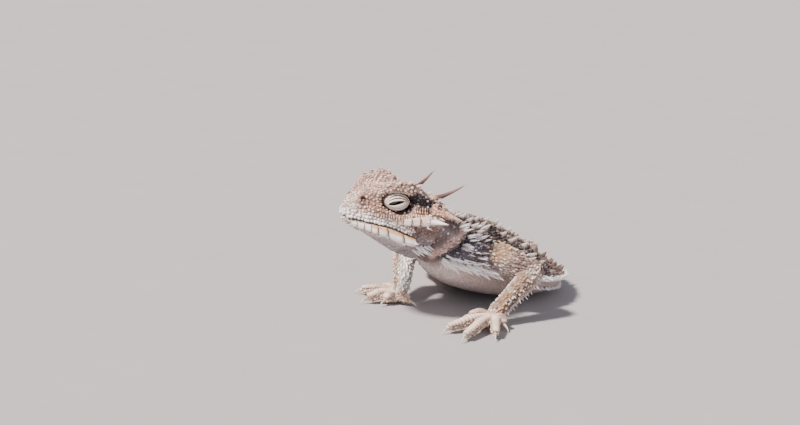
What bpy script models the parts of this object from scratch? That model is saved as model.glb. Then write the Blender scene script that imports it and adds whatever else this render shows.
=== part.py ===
"""Desert horned lizard, life size, as parted solids.

The animal props up its chest on its forelegs with the head turned to its right. Its belly, hind legs and
tail rest on the ground and curve the same way. Forward is -Y, the animal's left is +X and the ground is
z = 0. Lengths below are in millimetres and are scaled to metres when a mesh is made.
"""

import math

import bmesh
import bpy
import numpy as np
from mathutils import Matrix, Vector

MM = 0.001
GAP = 0.3
SEED = 11

# The middle of the animal's box on the ground becomes the origin.
ORIGIN_X, ORIGIN_Y = -9.75, 16.9

# Head: the point between the horn bases, how far it is turned to the right and raised, and its length.
HEAD_AT = np.array([-1.5, -10.5, 26.0])
HEAD_YAW, HEAD_PITCH = math.radians(28.6), math.radians(7.0)
HEAD_BACK, HEAD_LENGTH = -1.6, 17.4
HEAD_SIDES = 28

# Eye: centre from the middle plane, radius of the ball and thickness of the lids.
EYE_X, EYE_Y, EYE_Z = 9.0, 4.2, -1.3
EYE_RADIUS, LID_THICKNESS = 1.85, 0.45
EYE_SLIT_LENGTH, EYE_SLIT_HEIGHT, EYE_SLIT_TILT = 3.5, 0.62, math.radians(14)

# Ear and nostril: how far forward, how far below or above the row they lie by, and radius.
EAR_X, EAR_DROP, EAR_RADIUS = 0.7, 1.6, 0.95
NOSTRIL_X, NOSTRIL_RADIUS = 15.1, 0.5

# Occipital horn: root and tip in the head's frame, radius at the root and how far its middle sags.
HORN_ROOT, HORN_TIP, HORN_RADIUS, HORN_SAG = (1.0, 3.9, -1.0), (-5.9, 6.9, 4.0), 1.1, 0.9

# Mouth: height of its line at the snout and at its corner, and how far back the corner lies.
MOUTH_FRONT_Z, MOUTH_MIDDLE_Z, MOUTH_CORNER_Z, MOUTH_CORNER_X = -6.5, -6.9, -8.1, 4.6

# Trunk: stations from the nape to the tail's tip along its middle line.
PATH_Y = [-9.9, -6.8, -3.5, 2.0, 8.0, 14.0, 19.5, 24.8, 29.8, 34.2, 38.4, 42.5, 46.9, 51.3, 55.9, 60.5]
PATH_X = [-1.1, 0.2, 0.8, 0.7, 0.4, -0.2, -1.4, -3.2, -5.7, -8.5, -11.6, -14.8, -18.3, -21.5, -24.4, -26.8]
TOP_Z = [25.8, 23.2, 21.2, 20.2, 18.6, 15.9, 13.0, 10.4, 8.8, 7.8, 6.9, 6.0, 4.9, 3.7, 2.5, 1.1]
LOW_Z = [12.3, 9.2, 6.6, 4.0, 1.7, 0.2, -0.6, -0.7, -0.7, -0.7, -0.6, -0.5, -0.4, -0.3, -0.3, -0.2]
HALF_WIDTH = [6.3, 6.6, 8.2, 10.8, 13.6, 15.9, 16.9, 16.5, 14.3, 10.8, 7.5, 5.3, 3.9, 2.8, 1.8, 0.5]
SIDE_Z = [20.4, 17.0, 13.8, 10.8, 8.3, 6.2, 4.7, 3.7, 3.1, 3.0, 2.9, 2.7, 2.3, 1.7, 1.1, 0.5]

# How full the upper half of each station is: a rounded section below 1, a lens with a sharp edge above.
EDGE = [0.92, 0.92, 0.92, 0.95, 1.0, 1.12, 1.3, 1.5, 1.5, 1.25, 1.0, 0.92, 0.92, 0.92, 0.92, 0.92]
LOW_EDGE = 0.92
TRUNK_SIDES = 24
NECK_END, TORSO_END = 2.3, 10.6

# Limbs: centre of each joint with the radius there.
LIMBS = {
    "left": {
        "shoulder": ((5.5, 1.5, 13.2), 4.4),
        "elbow": ((17.3, 7.0, 9.9), 2.8),
        "wrist": ((14.9, -3.6, 2.7), 2.0),
        "fingers": [(8.2, -6.4), (11.2, -18.6), (17.0, -20.4), (21.2, -14.2), (19.9, -6.6)],
        "hip": ((-11.6, 38.4, 4.2), 3.8),
        "knee": ((-2.8, 41.2, 4.6), 2.6),
        "ankle": ((-11.0, 47.6, 2.3), 1.8),
        "toes": [(-6.6, 44.2), (-3.0, 44.9), (-0.4, 46.8), (-1.4, 50.6), (-5.6, 53.9)],
    },
    "right": {
        "shoulder": ((-5.5, 1.5, 13.2), 4.4),
        "elbow": ((-12.4, 1.6, 9.4), 2.6),
        "wrist": ((-7.6, -5.8, 2.7), 1.9),
        "fingers": [(-2.8, -6.6), (-8.3, -12.6), (-12.4, -14.2), (-18.0, -8.4), (-15.6, -2.6)],
        "hip": ((-14.6, 36.2, 4.2), 3.8),
        "knee": ((-25.6, 31.4, 5.0), 2.7),
        "ankle": ((-27.4, 41.0, 2.3), 1.8),
        "toes": [(-33.2, 38.8), (-37.5, 38.7), (-40.9, 42.4), (-40.5, 48.0), (-33.1, 51.8)],
    },
}
LIMB_SIDES, LOWER_BULGE = 12, 1.05
FINGER_RADIUS, CLAW_LENGTH = 1.1, 2.0

# Palm: how far it reaches in front of its joint, and the height and radius at its back, middle and front.
HAND_REACH, FOOT_REACH = 3.2, 5.6
PALM_HEIGHTS, PALM_RADII, PALM_SPREAD = (2.3, 1.5, 1.15), (1.6, 2.1, 1.9), 1.6

# Digit: shares of its length, of the reach of its claw, and heights and widths as shares of its radius.
DIGIT_SHARES = (0.0, 0.4, 0.75, 1.0)
DIGIT_HEIGHTS, DIGIT_WIDTHS = (1.35, 1.75, 1.3, 1.1), (1.1, 1.05, 1.0, 0.75)
CLAW_HEIGHTS, CLAW_WIDTHS = (1.05, 0.22), (0.4, 0.12)
DIGIT_SIDES = 8

# Spines, as length, width and thickness over width. They lean back by the share given last.
BACK_ROWS, BACK_SPACING, BACK_SPINE = (0.88, 0.66, 0.42), 0.52, (1.7, 1.7, 0.8, 1.5)
FRINGE_SPACING, FRINGE_SPINE = 0.27, (2.6, 1.7, 0.45, 1.0)
LOW_FRINGE_SPACING, LOW_FRINGE_SPINE, LOW_FRINGE_ANGLE = 0.42, (1.6, 1.4, 0.5, 1.1), 0.34
NECK_TUFT = ((0.75, 0.2), (1.0, 0.55), (1.2, -0.1), (1.45, 0.3), (1.7, 0.0), (1.95, 0.5))
NECK_SPINE, GULAR_SPINE, NAPE_SPINE = (2.2, 1.7, 0.7, 0.9), (2.3, 1.5, 0.5, 1.1), (1.4, 1.4, 0.8, 1.2)
TAIL_EDGE_SPINE, TAIL_TOP_SPINE = (1.9, 1.4, 0.6, 1.1), (1.6, 1.5, 0.8, 1.3)
LEAST_CLEARANCE = 1.2

# Rows of spines on the limbs: lengths, width, and where a row starts and ends along its segment.
UPPER_ARM_ROWS = (((1.4, 1.7, 1.7, 1.5), 1.5, 0.45, 0.9), ((1.2, 1.3, 1.2), 1.5, 0.5, 0.9))
FOREARM_ROW = ((1.6, 1.7, 1.6, 1.4, 1.2), 1.3, 0.05, 0.85)
THIGH_ROW, SHIN_ROW = ((1.8, 2.1, 2.0), 1.6, 0.5, 0.92), ((1.8, 1.9, 1.6), 1.4, 0.15, 0.8)

SKIN, HORN, EYE = "weathered sandy skin", "keratin horn", "dark eye"
COLOURS = {SKIN: (0.48, 0.37, 0.28, 1.0), HORN: (0.42, 0.27, 0.2, 1.0), EYE: (0.02, 0.015, 0.01, 1.0)}


def smooth(x, xs, ys):
    """A cubic through (xs, ys) whose slope at each point is that of its two neighbours, read at x."""
    xs, ys, x = np.asarray(xs, float), np.asarray(ys, float), np.asarray(x, float)
    slopes = np.gradient(ys, xs)
    i = np.clip(np.searchsorted(xs, x) - 1, 0, len(xs) - 2)
    step = xs[i + 1] - xs[i]
    t = np.clip((x - xs[i]) / step, 0.0, 1.0)
    rise = (1 + 2 * t) * (1 - t) ** 2 * ys[i] + t * t * (3 - 2 * t) * ys[i + 1]
    return rise + step * t * (1 - t) * ((1 - t) * slopes[i] - t * slopes[i + 1])


def unit(v):
    v = np.asarray(v, float)
    return v / np.linalg.norm(v, axis=-1, keepdims=True)


HEAD_F = np.array([
    -math.sin(HEAD_YAW) * math.cos(HEAD_PITCH),
    -math.cos(HEAD_YAW) * math.cos(HEAD_PITCH),
    math.sin(HEAD_PITCH),
])
HEAD_L = np.array([math.cos(HEAD_YAW), -math.sin(HEAD_YAW), 0.0])
HEAD_U = np.cross(HEAD_F, HEAD_L)
HEAD_AXES = np.array([HEAD_F, HEAD_L, HEAD_U])


def in_head(local):
    """A point of the head's own frame (forward, left, up) in the animal's frame."""
    return HEAD_AT + np.asarray(local, float) @ HEAD_AXES


def head_way(local):
    return unit(np.asarray(local, float) @ HEAD_AXES)


def material(name):
    made = bpy.data.materials.new(name)
    made.use_nodes = True
    shader = made.node_tree.nodes["Principled BSDF"]
    shader.inputs["Base Color"].default_value = COLOURS[name]
    shader.inputs["Roughness"].default_value = 0.15 if name == EYE else 0.75
    shader.inputs["Metallic"].default_value = 0.0
    return made


def make_object(name, points, faces):
    """A mesh object from points in the animal's frame, with its faces turned outwards."""
    shifted = (np.asarray(points, float) - (ORIGIN_X, ORIGIN_Y, 0.0)) * MM
    mesh = bpy.data.meshes.new(name)
    mesh.from_pydata(shifted.tolist(), [], [tuple(face) for face in faces])
    built = bpy.data.objects.new(name, mesh)
    bpy.context.scene.collection.objects.link(built)
    turn_outwards(built)
    return built


def turn_outwards(built):
    shape = bmesh.new()
    shape.from_mesh(built.data)
    bmesh.ops.recalc_face_normals(shape, faces=shape.faces)
    bmesh.ops.triangulate(shape, faces=shape.faces)
    if shape.calc_volume(signed=True) < 0:
        bmesh.ops.reverse_faces(shape, faces=shape.faces)
    shape.to_mesh(built.data)
    shape.free()


def loft(name, rings):
    """A closed tube through rings of points, all with the same count, with a flat cap at each end."""
    count, sides = rings.shape[:2]
    faces = []
    for i in range(count - 1):
        for j in range(sides):
            k = (j + 1) % sides
            faces.append((i * sides + j, i * sides + k, (i + 1) * sides + k, (i + 1) * sides + j))
    faces.append(tuple(range(sides)))
    faces.append(tuple((count - 1) * sides + j for j in range(sides)))
    return make_object(name, rings.reshape(-1, 3), faces)


def tube_rings(points, radii, sides, grown=0.0, flat=1.0):
    """Rings square to a path through the points, with rounded ends; flat squeezes them upright."""
    at = np.linspace(0, 1, len(points))
    fine = np.linspace(0, 1, 3 * len(points) - 2)
    line = np.stack([smooth(fine, at, [p[k] for p in points]) for k in range(3)], axis=1)
    radius = smooth(fine, at, radii) + grown
    ahead = unit(np.gradient(line, axis=0))
    start, end = line[0] - ahead[0] * radius[0] * 0.6, line[-1] + ahead[-1] * radius[-1] * 0.6
    line = np.concatenate([[start], line, [end]])
    radius = np.concatenate([[radius[0] * 0.5], radius, [radius[-1] * 0.5]])
    ahead = np.concatenate([ahead[:1], ahead, ahead[-1:]])
    side = unit(np.cross(ahead, (0, 0, 1)) + 1e-6)
    over = np.cross(side, ahead)
    angle = np.arange(sides) * 2 * math.pi / sides
    across = np.cos(angle)[None, :, None] * side[:, None]
    upright = flat * np.sin(angle)[None, :, None] * over[:, None]
    rings = line[:, None] + radius[:, None, None] * (across + upright)
    rings[..., 2] = np.maximum(rings[..., 2], 0.0 if grown == 0 else -1.0)
    return rings


def apply_modifiers(built):
    bpy.context.view_layer.update()
    graph = bpy.context.evaluated_depsgraph_get()
    done = bpy.data.meshes.new_from_object(built.evaluated_get(graph))
    built.modifiers.clear()
    built.data = done


def keep_largest(built):
    """Leaves only the closed surface that holds most."""
    shape = bmesh.new()
    shape.from_mesh(built.data)
    left, best, most = set(shape.faces), None, -1.0
    while left:
        island, edge = set(), [left.pop()]
        while edge:
            face = edge.pop()
            island.add(face)
            for side in face.edges:
                for other in side.link_faces:
                    if other in left:
                        left.discard(other)
                        edge.append(other)
        low = min(v.co.z for f in island for v in f.verts)
        size = sum(f.calc_area() * (f.calc_center_median().z - low) * f.normal.z for f in island)
        if size > most:
            best, most = island, size
    bmesh.ops.delete(shape, geom=[f for f in shape.faces if f not in best], context="FACES")
    shape.to_mesh(built.data)
    shape.free()


def combine(built, others, operation):
    """Joins or cuts with all the others at once and removes them."""
    group = bpy.data.collections.new("group")
    bpy.context.scene.collection.children.link(group)
    for other in others:
        bpy.context.scene.collection.objects.unlink(other)
        group.objects.link(other)
    modifier = built.modifiers.new(operation.lower(), "BOOLEAN")
    modifier.operation = operation
    modifier.solver = "MANIFOLD"
    modifier.operand_type = "COLLECTION"
    modifier.collection = group
    apply_modifiers(built)
    for other in list(group.objects):
        bpy.data.objects.remove(other, do_unlink=True)
    bpy.data.collections.remove(group)
    keep_largest(built)
    return built


def spike(root, way, length, width, thick=None, flat_up=(0, 0, 1), sink=0.7):
    """A four-sided tapered spine that starts below the surface point root and ends length beyond it."""
    thick = width if thick is None else thick
    way = unit(way)
    side = unit(np.cross(way, flat_up))
    up = np.cross(side, way)
    start = np.asarray(root, float) - way * sink
    turns = Matrix((Vector(side), Vector(up), Vector(way))).transposed().to_4x4()
    shape = bmesh.new()
    bmesh.ops.create_cone(
        shape, cap_ends=True, segments=4, radius1=0.5, radius2=0.0, depth=length + sink,
        matrix=Matrix.Rotation(math.pi / 4, 4, "Z") if thick != width else Matrix.Identity(4),
    )
    bmesh.ops.translate(shape, verts=shape.verts, vec=(0, 0, (length + sink) / 2))
    bmesh.ops.scale(shape, verts=shape.verts, vec=(width, thick, 1.0))
    bmesh.ops.transform(shape, verts=shape.verts, matrix=turns)
    points = np.array([v.co[:] for v in shape.verts]) + start
    faces = [[v.index for v in f.verts] for f in shape.faces]
    shape.free()
    return make_object("spike", points, faces)


def horn(name, root, tip, radius, bend, sides=8):
    """A round horn that bends by the given amount on its way from root to tip."""
    root, tip = np.asarray(root, float), np.asarray(tip, float)
    t = np.linspace(0, 1, 6)[:, None]
    line = root + (tip - root) * t + np.asarray(bend, float) * (4 * t * (1 - t))
    ahead = unit(np.gradient(line, axis=0))
    side = unit(np.cross(ahead, (0.3, 0.2, 1.0)))
    over = np.cross(side, ahead)
    angle = np.arange(sides) * 2 * math.pi / sides
    size = radius * (1 - 0.93 * t[:, 0] ** 1.2)
    ring = np.cos(angle)[None, :, None] * side[:, None] + np.sin(angle)[None, :, None] * over[:, None]
    return loft(name, line[:, None] + size[:, None, None] * ring)


# Head

HEAD_X = [-2.0, 0.0, 3.0, 6.0, 8.8, 11.1, 13.2, 15.0, 16.6, 17.4]
CROWN_Z = [-0.7, 0.0, 0.7, 1.3, 1.4, 1.1, 0.4, -1.0, -3.0, -4.9]
BROW_Y = [6.4, 6.6, 6.8, 6.9, 6.3, 5.6, 4.6, 3.2, 1.9, 0.9]
BROW_Z = [-1.3, -0.5, 1.2, 2.9, 2.6, 1.9, 0.6, -1.4, -3.4, -4.9]
ORBIT_Y = [7.2, 7.5, 7.0, 6.1, 5.5, 5.1, 4.5, 3.4, 2.2, 1.1]
ORBIT_Z = [-3.2, -3.0, -2.6, -2.0, -1.6, -1.6, -2.0, -3.0, -4.2, -5.3]
CHEEK_Y = [7.8, 8.5, 8.3, 7.4, 6.5, 5.9, 4.9, 3.7, 2.4, 1.2]
CHEEK_Z = [-4.8, -4.6, -4.5, -4.4, -4.3, -4.2, -4.2, -4.4, -5.0, -5.7]
LIP_Y = [6.4, 6.8, 6.8, 6.6, 6.1, 5.6, 4.8, 3.7, 2.4, 1.2]
LIP_Z = [-8.6, -8.6, -8.4, -7.6, -6.8, -6.5, -6.5, -6.4, -6.3, -6.2]
JAW_Y = [5.6, 6.2, 6.7, 6.6, 6.0, 5.4, 4.6, 3.4, 2.1, 1.0]
JAW_Z = [-9.6, -9.9, -10.1, -9.9, -9.5, -8.9, -8.3, -7.8, -7.3, -6.8]
CHIN_Z = [-14.0, -14.3, -13.7, -12.5, -11.2, -10.1, -9.35, -8.6, -7.9, -7.0]


def head_outline(x, grown=0.0):
    """The half outline of the head at x, from crown to chin: seven points of (left, up)."""
    lefts = [0 * x, smooth(x, HEAD_X, BROW_Y), smooth(x, HEAD_X, ORBIT_Y), smooth(x, HEAD_X, CHEEK_Y),
             smooth(x, HEAD_X, LIP_Y), smooth(x, HEAD_X, JAW_Y), 0 * x]
    ups = [smooth(x, HEAD_X, z) for z in (CROWN_Z, BROW_Z, ORBIT_Z, CHEEK_Z, LIP_Z, JAW_Z, CHIN_Z)]
    lefts, ups = np.stack(lefts, axis=-1), np.stack(ups, axis=-1)
    middle = ups.mean(axis=-1, keepdims=True)
    away = np.sqrt(lefts**2 + (ups - middle) ** 2)
    scale = 1 + grown / away
    return lefts * scale, middle + (ups - middle) * scale


def head_rings(xs, sides, grown=0.0):
    """Closed rings of the head: the half outline and its mirror image, read evenly as one smooth curve."""
    lefts, ups = head_outline(np.asarray(xs, float), grown)
    loop_y = np.concatenate([lefts, -lefts[:, -2:0:-1]], axis=1)
    loop_z = np.concatenate([ups, ups[:, -2:0:-1]], axis=1)
    count = loop_y.shape[1]
    at = np.arange(-2, count + 3)
    wrapped_y, wrapped_z = loop_y[:, at % count], loop_z[:, at % count]
    even = np.arange(sides) * count / sides
    rings = [
        np.stack([np.full(sides, x), smooth(even, at, wrapped_y[i]), smooth(even, at, wrapped_z[i])], axis=1)
        for i, x in enumerate(xs)
    ]
    return in_head(np.array(rings))


def head_side(x, row, side):
    """A point on the head at x on one row of its outline: 1 brow, 2 orbit, 3 cheek, 4 lip, 5 jaw."""
    lefts, ups = head_outline(np.asarray(x, float))
    return np.array([x, side * lefts[row], ups[row]])


def head_block(name, grown=0.0, sides=HEAD_SIDES):
    back, front = HEAD_BACK - grown, HEAD_LENGTH + grown
    share = np.linspace(0, 1, 19)
    xs = np.concatenate([back + (front - back - 1.0) * share, [front - 0.45, front]])
    return loft(name, head_rings(np.clip(xs, HEAD_X[0], HEAD_X[-1]) + 0 * xs, sides, grown))


def mouth_prism(name, grown):
    """The block below the line of the mouth and in front of its corner, across the whole head."""
    far, deep, wide = 24.0, -14.0, 12.0
    corner = MOUTH_CORNER_X - grown
    outline = [
        (far, MOUTH_FRONT_Z + grown), (12.0, MOUTH_FRONT_Z + grown), (8.5, MOUTH_MIDDLE_Z + grown),
        (corner, MOUTH_CORNER_Z + grown), (corner - 0.6, deep), (far, deep),
    ]
    count = len(outline)
    points = [in_head((x, y, z)) for y in (-wide, wide) for x, z in outline]
    faces = [tuple(range(count)), tuple(range(count, 2 * count))]
    faces += [(i, (i + 1) % count, count + (i + 1) % count, count + i) for i in range(count)]
    return make_object(name, points, faces)


def ball(name, centre, radius, segments=20):
    shape = bmesh.new()
    bmesh.ops.create_uvsphere(shape, u_segments=segments, v_segments=segments // 2, radius=radius)
    points = np.array([v.co[:] for v in shape.verts]) + np.asarray(centre, float)
    faces = [[v.index for v in f.verts] for f in shape.faces]
    shape.free()
    return make_object(name, points, faces)


def eye_slit(side):
    """The opening between the lids, lower in front."""
    ahead = np.array([math.cos(EYE_SLIT_TILT), 0, -math.sin(EYE_SLIT_TILT)]) * EYE_SLIT_LENGTH / 2
    above = np.array([math.sin(EYE_SLIT_TILT), 0, math.cos(EYE_SLIT_TILT)]) * EYE_SLIT_HEIGHT / 2
    out = np.array([0, side * 3.0, 0])
    centre = np.array([EYE_X, side * (EYE_Y + EYE_RADIUS - 0.5), EYE_Z - 0.1])
    ends = [(-1, 0), (-0.5, -1), (0.5, -1), (1, 0), (0.5, 1), (-0.5, 1)]
    ring = [centre + a * ahead + b * above for a, b in ends]
    points = [in_head(p) for p in ring] + [in_head(p + out) for p in ring]
    count = len(ring)
    faces = [tuple(range(count)), tuple(range(count, 2 * count))]
    faces += [(i, (i + 1) % count, count + (i + 1) % count, count + i) for i in range(count)]
    return make_object("slit", points, faces)


# Temporal horns of one side: root and tip in the head's frame, and width. The largest stand furthest back.
TEMPORAL_HORNS = [
    ((-0.8, 5.7, -1.0), (-3.6, 7.4, -0.8), 1.5),
    ((-0.4, 7.2, -2.2), (-5.1, 10.3, -3.0), 2.7),
    ((0.2, 8.0, -3.6), (-1.6, 10.8, -4.2), 2.0),
    ((1.2, 8.3, -4.5), (-0.7, 11.6, -5.0), 2.4),
    ((3.1, 8.1, -4.5), (2.2, 10.4, -4.9), 1.7),
    ((5.2, 7.5, -4.5), (4.7, 9.0, -4.9), 1.4),
    ((7.2, 6.8, -4.4), (6.9, 7.9, -4.8), 1.2),
]


# Spines of the brow as forward place, length and width; bosses of the crown as forward and side place.
BROW_SPINES = ((5.2, 1.6, 1.7), (7.2, 0.8, 1.4), (9.3, 0.7, 1.4), (11.3, 0.6, 1.3))
CROWN_BOSSES = ((2.2, 3.2), (4.4, 1.6), (6.6, 3.4), (9.4, 2.2), (12.0, 1.4))
BOSS_HEIGHT, BOSS_WIDTH = 0.65, 1.2
JAW_ANGLE_X, JAW_ANGLE_SPINE = 1.2, (2.2, 1.6, 1.1)
JAW_ROW_FRONT, JAW_ROW_BACK, JAW_ROW_COUNT = 15.0, 4.9, 8
MIDDLE_SPINE_AT, MIDDLE_SPINE = (-1.0, 0.0, -0.4), 1.3


def head_spikes(side):
    """Spines of the upper head on one side."""
    mirror = np.array([1, side, 1])
    spikes = []
    for root, tip, width in TEMPORAL_HORNS:
        root, tip = in_head(np.array(root) * mirror), in_head(np.array(tip) * mirror)
        spikes.append(spike(root, tip - root, np.linalg.norm(tip - root), width, width * 0.7, HEAD_U, 1.2))
    for x, length, width in BROW_SPINES:
        way = head_way((-0.5, side * 0.75, 0.6))
        spikes.append(spike(in_head(head_side(x, 1, side)), way, length, width, width, HEAD_U))
    length, width, thick = JAW_ANGLE_SPINE
    angle = in_head(head_side(JAW_ANGLE_X, 5, side))
    spikes.append(spike(angle, head_way((-0.45, side * 0.85, -0.25)), length, width, thick, HEAD_U))
    for x, y in CROWN_BOSSES:
        lefts, ups = head_outline(np.asarray(x, float))
        z = np.interp(y, lefts[:2], ups[:2])
        way = head_way((-0.45, side * 0.15, 0.85))
        spikes.append(spike(in_head((x, side * y, z)), way, BOSS_HEIGHT, BOSS_WIDTH))
    return spikes


def jaw_spikes(side):
    """The row of spines along the edge of the lower jaw, longest at the back."""
    spikes = []
    for i, x in enumerate(np.linspace(JAW_ROW_FRONT, JAW_ROW_BACK, JAW_ROW_COUNT)):
        grown = i / (JAW_ROW_COUNT - 1)
        root = in_head(head_side(x, 5, side))
        way = head_way((-0.3 - 0.2 * grown, side * 0.85, -0.35))
        spikes.append(spike(root, way, 0.6 + 1.7 * grown**1.5, 1.1 + 0.6 * grown, 0.8 + 0.3 * grown, HEAD_U))
    return spikes


def build_head():
    head, jaw = head_block("head"), head_block("jaw")
    lid_radius = EYE_RADIUS + GAP + LID_THICKNESS
    lids = [ball("lid", in_head((EYE_X, side * EYE_Y, EYE_Z)), lid_radius) for side in (1, -1)]
    spikes = [piece for s in (1, -1) for piece in head_spikes(s)]
    way = head_way((-0.8, 0, 0.6))
    spikes.append(spike(in_head(MIDDLE_SPINE_AT), way, MIDDLE_SPINE, MIDDLE_SPINE, MIDDLE_SPINE, HEAD_U))
    combine(head, lids + spikes, "UNION")
    cutters = [mouth_prism("mouth", GAP)]
    for side in (1, -1):
        cutters.append(ball("socket", in_head((EYE_X, side * EYE_Y, EYE_Z)), EYE_RADIUS + GAP))
        cutters.append(eye_slit(side))
        ear = head_side(EAR_X, 3, side) + (0, side * 0.2, -EAR_DROP)
        cutters.append(ball("ear", in_head(ear), EAR_RADIUS, 10))
        cutters.append(ball("nostril", in_head(head_side(NOSTRIL_X, 1, side)), NOSTRIL_RADIUS, 8))
    combine(head, cutters, "DIFFERENCE")
    combine(jaw, [mouth_prism("mouth", 0.0)], "INTERSECT")
    combine(jaw, [piece for s in (1, -1) for piece in jaw_spikes(s)], "UNION")
    combine(jaw, [mouth_prism("below", 0.0)], "INTERSECT")
    nodes = [head, jaw]
    for side, word in ((1, "left"), (-1, "right")):
        nodes.append(ball("eye_" + word, in_head((EYE_X, side * EYE_Y, EYE_Z)), EYE_RADIUS))
        mirror = np.array([1, side, 1])
        root, tip = in_head(np.array(HORN_ROOT) * mirror), in_head(np.array(HORN_TIP) * mirror)
        grown = horn("horn_" + word, root, tip, HORN_RADIUS, HEAD_U * -HORN_SAG)
        nodes.append(combine(grown, [head_block("skull", GAP)], "DIFFERENCE"))
    return nodes


# Neck, torso and tail

PATH_S = np.arange(len(PATH_Y), dtype=float)


def trunk_frame(s):
    """Middle point on the ground, the way back and the way left at station s."""
    s = np.asarray(s, float)
    here = np.stack([smooth(s, PATH_S, PATH_X), smooth(s, PATH_S, PATH_Y)], axis=-1)
    step = 0.15
    a, b = np.clip(s - step, 0, PATH_S[-1]), np.clip(s + step, 0, PATH_S[-1])
    back = np.stack([
        smooth(b, PATH_S, PATH_X) - smooth(a, PATH_S, PATH_X),
        smooth(b, PATH_S, PATH_Y) - smooth(a, PATH_S, PATH_Y),
    ], axis=-1)
    back = unit(back)
    return here, back, np.stack([back[..., 1], -back[..., 0]], axis=-1)


def trunk_point(s, angle, grown=0.0):
    """A point of the skin of the trunk: angle 0 is its left side, a quarter turn up its back."""
    s, angle = np.broadcast_arrays(np.asarray(s, float), np.asarray(angle, float))
    here, _, left = trunk_frame(s)
    width = smooth(s, PATH_S, HALF_WIDTH) + grown
    top, low, mid = (smooth(s, PATH_S, z) for z in (TOP_Z, LOW_Z, SIDE_Z))
    power = np.where(np.sin(angle) > 0, smooth(s, PATH_S, EDGE), LOW_EDGE)
    across = np.sign(np.cos(angle)) * np.abs(np.cos(angle)) ** power * width
    rise = np.abs(np.sin(angle)) ** power * np.where(np.sin(angle) > 0, top - mid + grown, mid - low + grown)
    z = mid + np.sign(np.sin(angle)) * rise
    ground = 0.0 if grown == 0 else -1.0
    return np.concatenate([here + left * across[..., None], np.maximum(z, ground)[..., None]], axis=-1)


def trunk_out(s, angle):
    """The way straight out of the skin of the trunk."""
    d = 0.02
    along = trunk_point(s + d, angle) - trunk_point(s - d, angle)
    around = trunk_point(s, angle + d) - trunk_point(s, angle - d)
    return unit(np.cross(along, around))


def trunk_block(name, start, end, steps, grown=0.0):
    angle = np.arange(TRUNK_SIDES) * 2 * math.pi / TRUNK_SIDES
    stations = np.linspace(start, end, steps)
    return loft(name, trunk_point(stations[:, None], angle[None], grown))


def near_limb(point, keep):
    """Whether a point is within keep of the line of a limb, where no spine may stand."""
    for limb in LIMBS.values():
        for first, second in (("shoulder", "elbow"), ("elbow", "wrist"), ("hip", "knee"), ("knee", "ankle")):
            (a, ra), (b, rb) = limb[first], limb[second]
            a, b = np.array(a), np.array(b)
            t = np.clip(np.dot(point - a, b - a) / np.dot(b - a, b - a), 0, 1)
            if np.linalg.norm(point - a - t * (b - a)) < ra + (rb - ra) * t + keep:
                return True
    return False


def trunk_spike(draw, s, angle, sizes, scale=1.0):
    """A spine on the trunk that leans back; None where a limb is in its way."""
    length, width, flat, lean = sizes
    s, angle = s + draw.uniform(-0.08, 0.08), angle + draw.uniform(-0.04, 0.04)
    root = trunk_point(s, angle)
    out = trunk_out(s, angle)
    _, back, _ = trunk_frame(s)
    way = unit(out + np.append(back, 0.0) * lean)
    length *= draw.uniform(0.85, 1.2) * scale
    width *= scale
    if near_limb(root, LEAST_CLEARANCE) or near_limb(root + way * length, LEAST_CLEARANCE):
        return None
    return spike(root, way, length, width, width * flat, out)


def back_spikes(draw):
    """Scattered spines in six rows down the back."""
    found = []
    for row, height in enumerate(BACK_ROWS):
        for side in (1, -1):
            angle = math.pi / 2 + side * (math.pi / 2 - math.asin(height))
            for s in np.arange(NECK_END + 0.3 + BACK_SPACING / 2 * row, TORSO_END - 0.3, BACK_SPACING):
                found.append(trunk_spike(draw, s, angle, BACK_SPINE))
    return found


def fringe_spikes(draw):
    """The two rows of flat spines along each flank, the upper one longer and lower at the shoulder."""
    found = []
    for side in (1, -1):
        middle = 0.0 if side > 0 else math.pi
        for s in np.arange(NECK_END + 0.15, TORSO_END - 0.5, FRINGE_SPACING):
            below = 0.4 * np.clip((5.5 - s) / 2.5, 0, 1) - 0.05
            found.append(trunk_spike(draw, s, middle - side * below, FRINGE_SPINE))
        for s in np.arange(4.6, 8.8, LOW_FRINGE_SPACING):
            found.append(trunk_spike(draw, s, middle - side * LOW_FRINGE_ANGLE, LOW_FRINGE_SPINE))
    return found


def neck_spikes(draw):
    """The clusters of pale spines on each side of the neck."""
    found = []
    for side in (1, -1):
        middle = 0.0 if side > 0 else math.pi
        for s, around in NECK_TUFT:
            found.append(trunk_spike(draw, s, middle + side * around, NECK_SPINE))
        for s in np.arange(0.9, 2.1, 0.35):
            found.append(trunk_spike(draw, s, middle - side * 0.45, GULAR_SPINE))
        for s in (0.9, 1.6):
            found.append(trunk_spike(draw, s, middle + side * 0.95, NAPE_SPINE))
    return found


def tail_spikes(draw):
    """The fringe along each edge of the tail and a few spines on top."""
    found = []
    for side in (1, -1):
        middle = 0.0 if side > 0 else math.pi
        for s in np.arange(TORSO_END + 0.35, 14.4, 0.3):
            found.append(trunk_spike(draw, s, middle + side * 0.12, TAIL_EDGE_SPINE, tail_taper(s)))
        for s in np.arange(TORSO_END + 0.5, 13.6, 0.55):
            found.append(trunk_spike(draw, s, middle + side * 1.0, TAIL_TOP_SPINE, tail_taper(s)))
    return found


def tail_taper(s):
    """How large a spine of the tail is at s, beside one at its root."""
    return 1.0 - (s - TORSO_END) / 6


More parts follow.
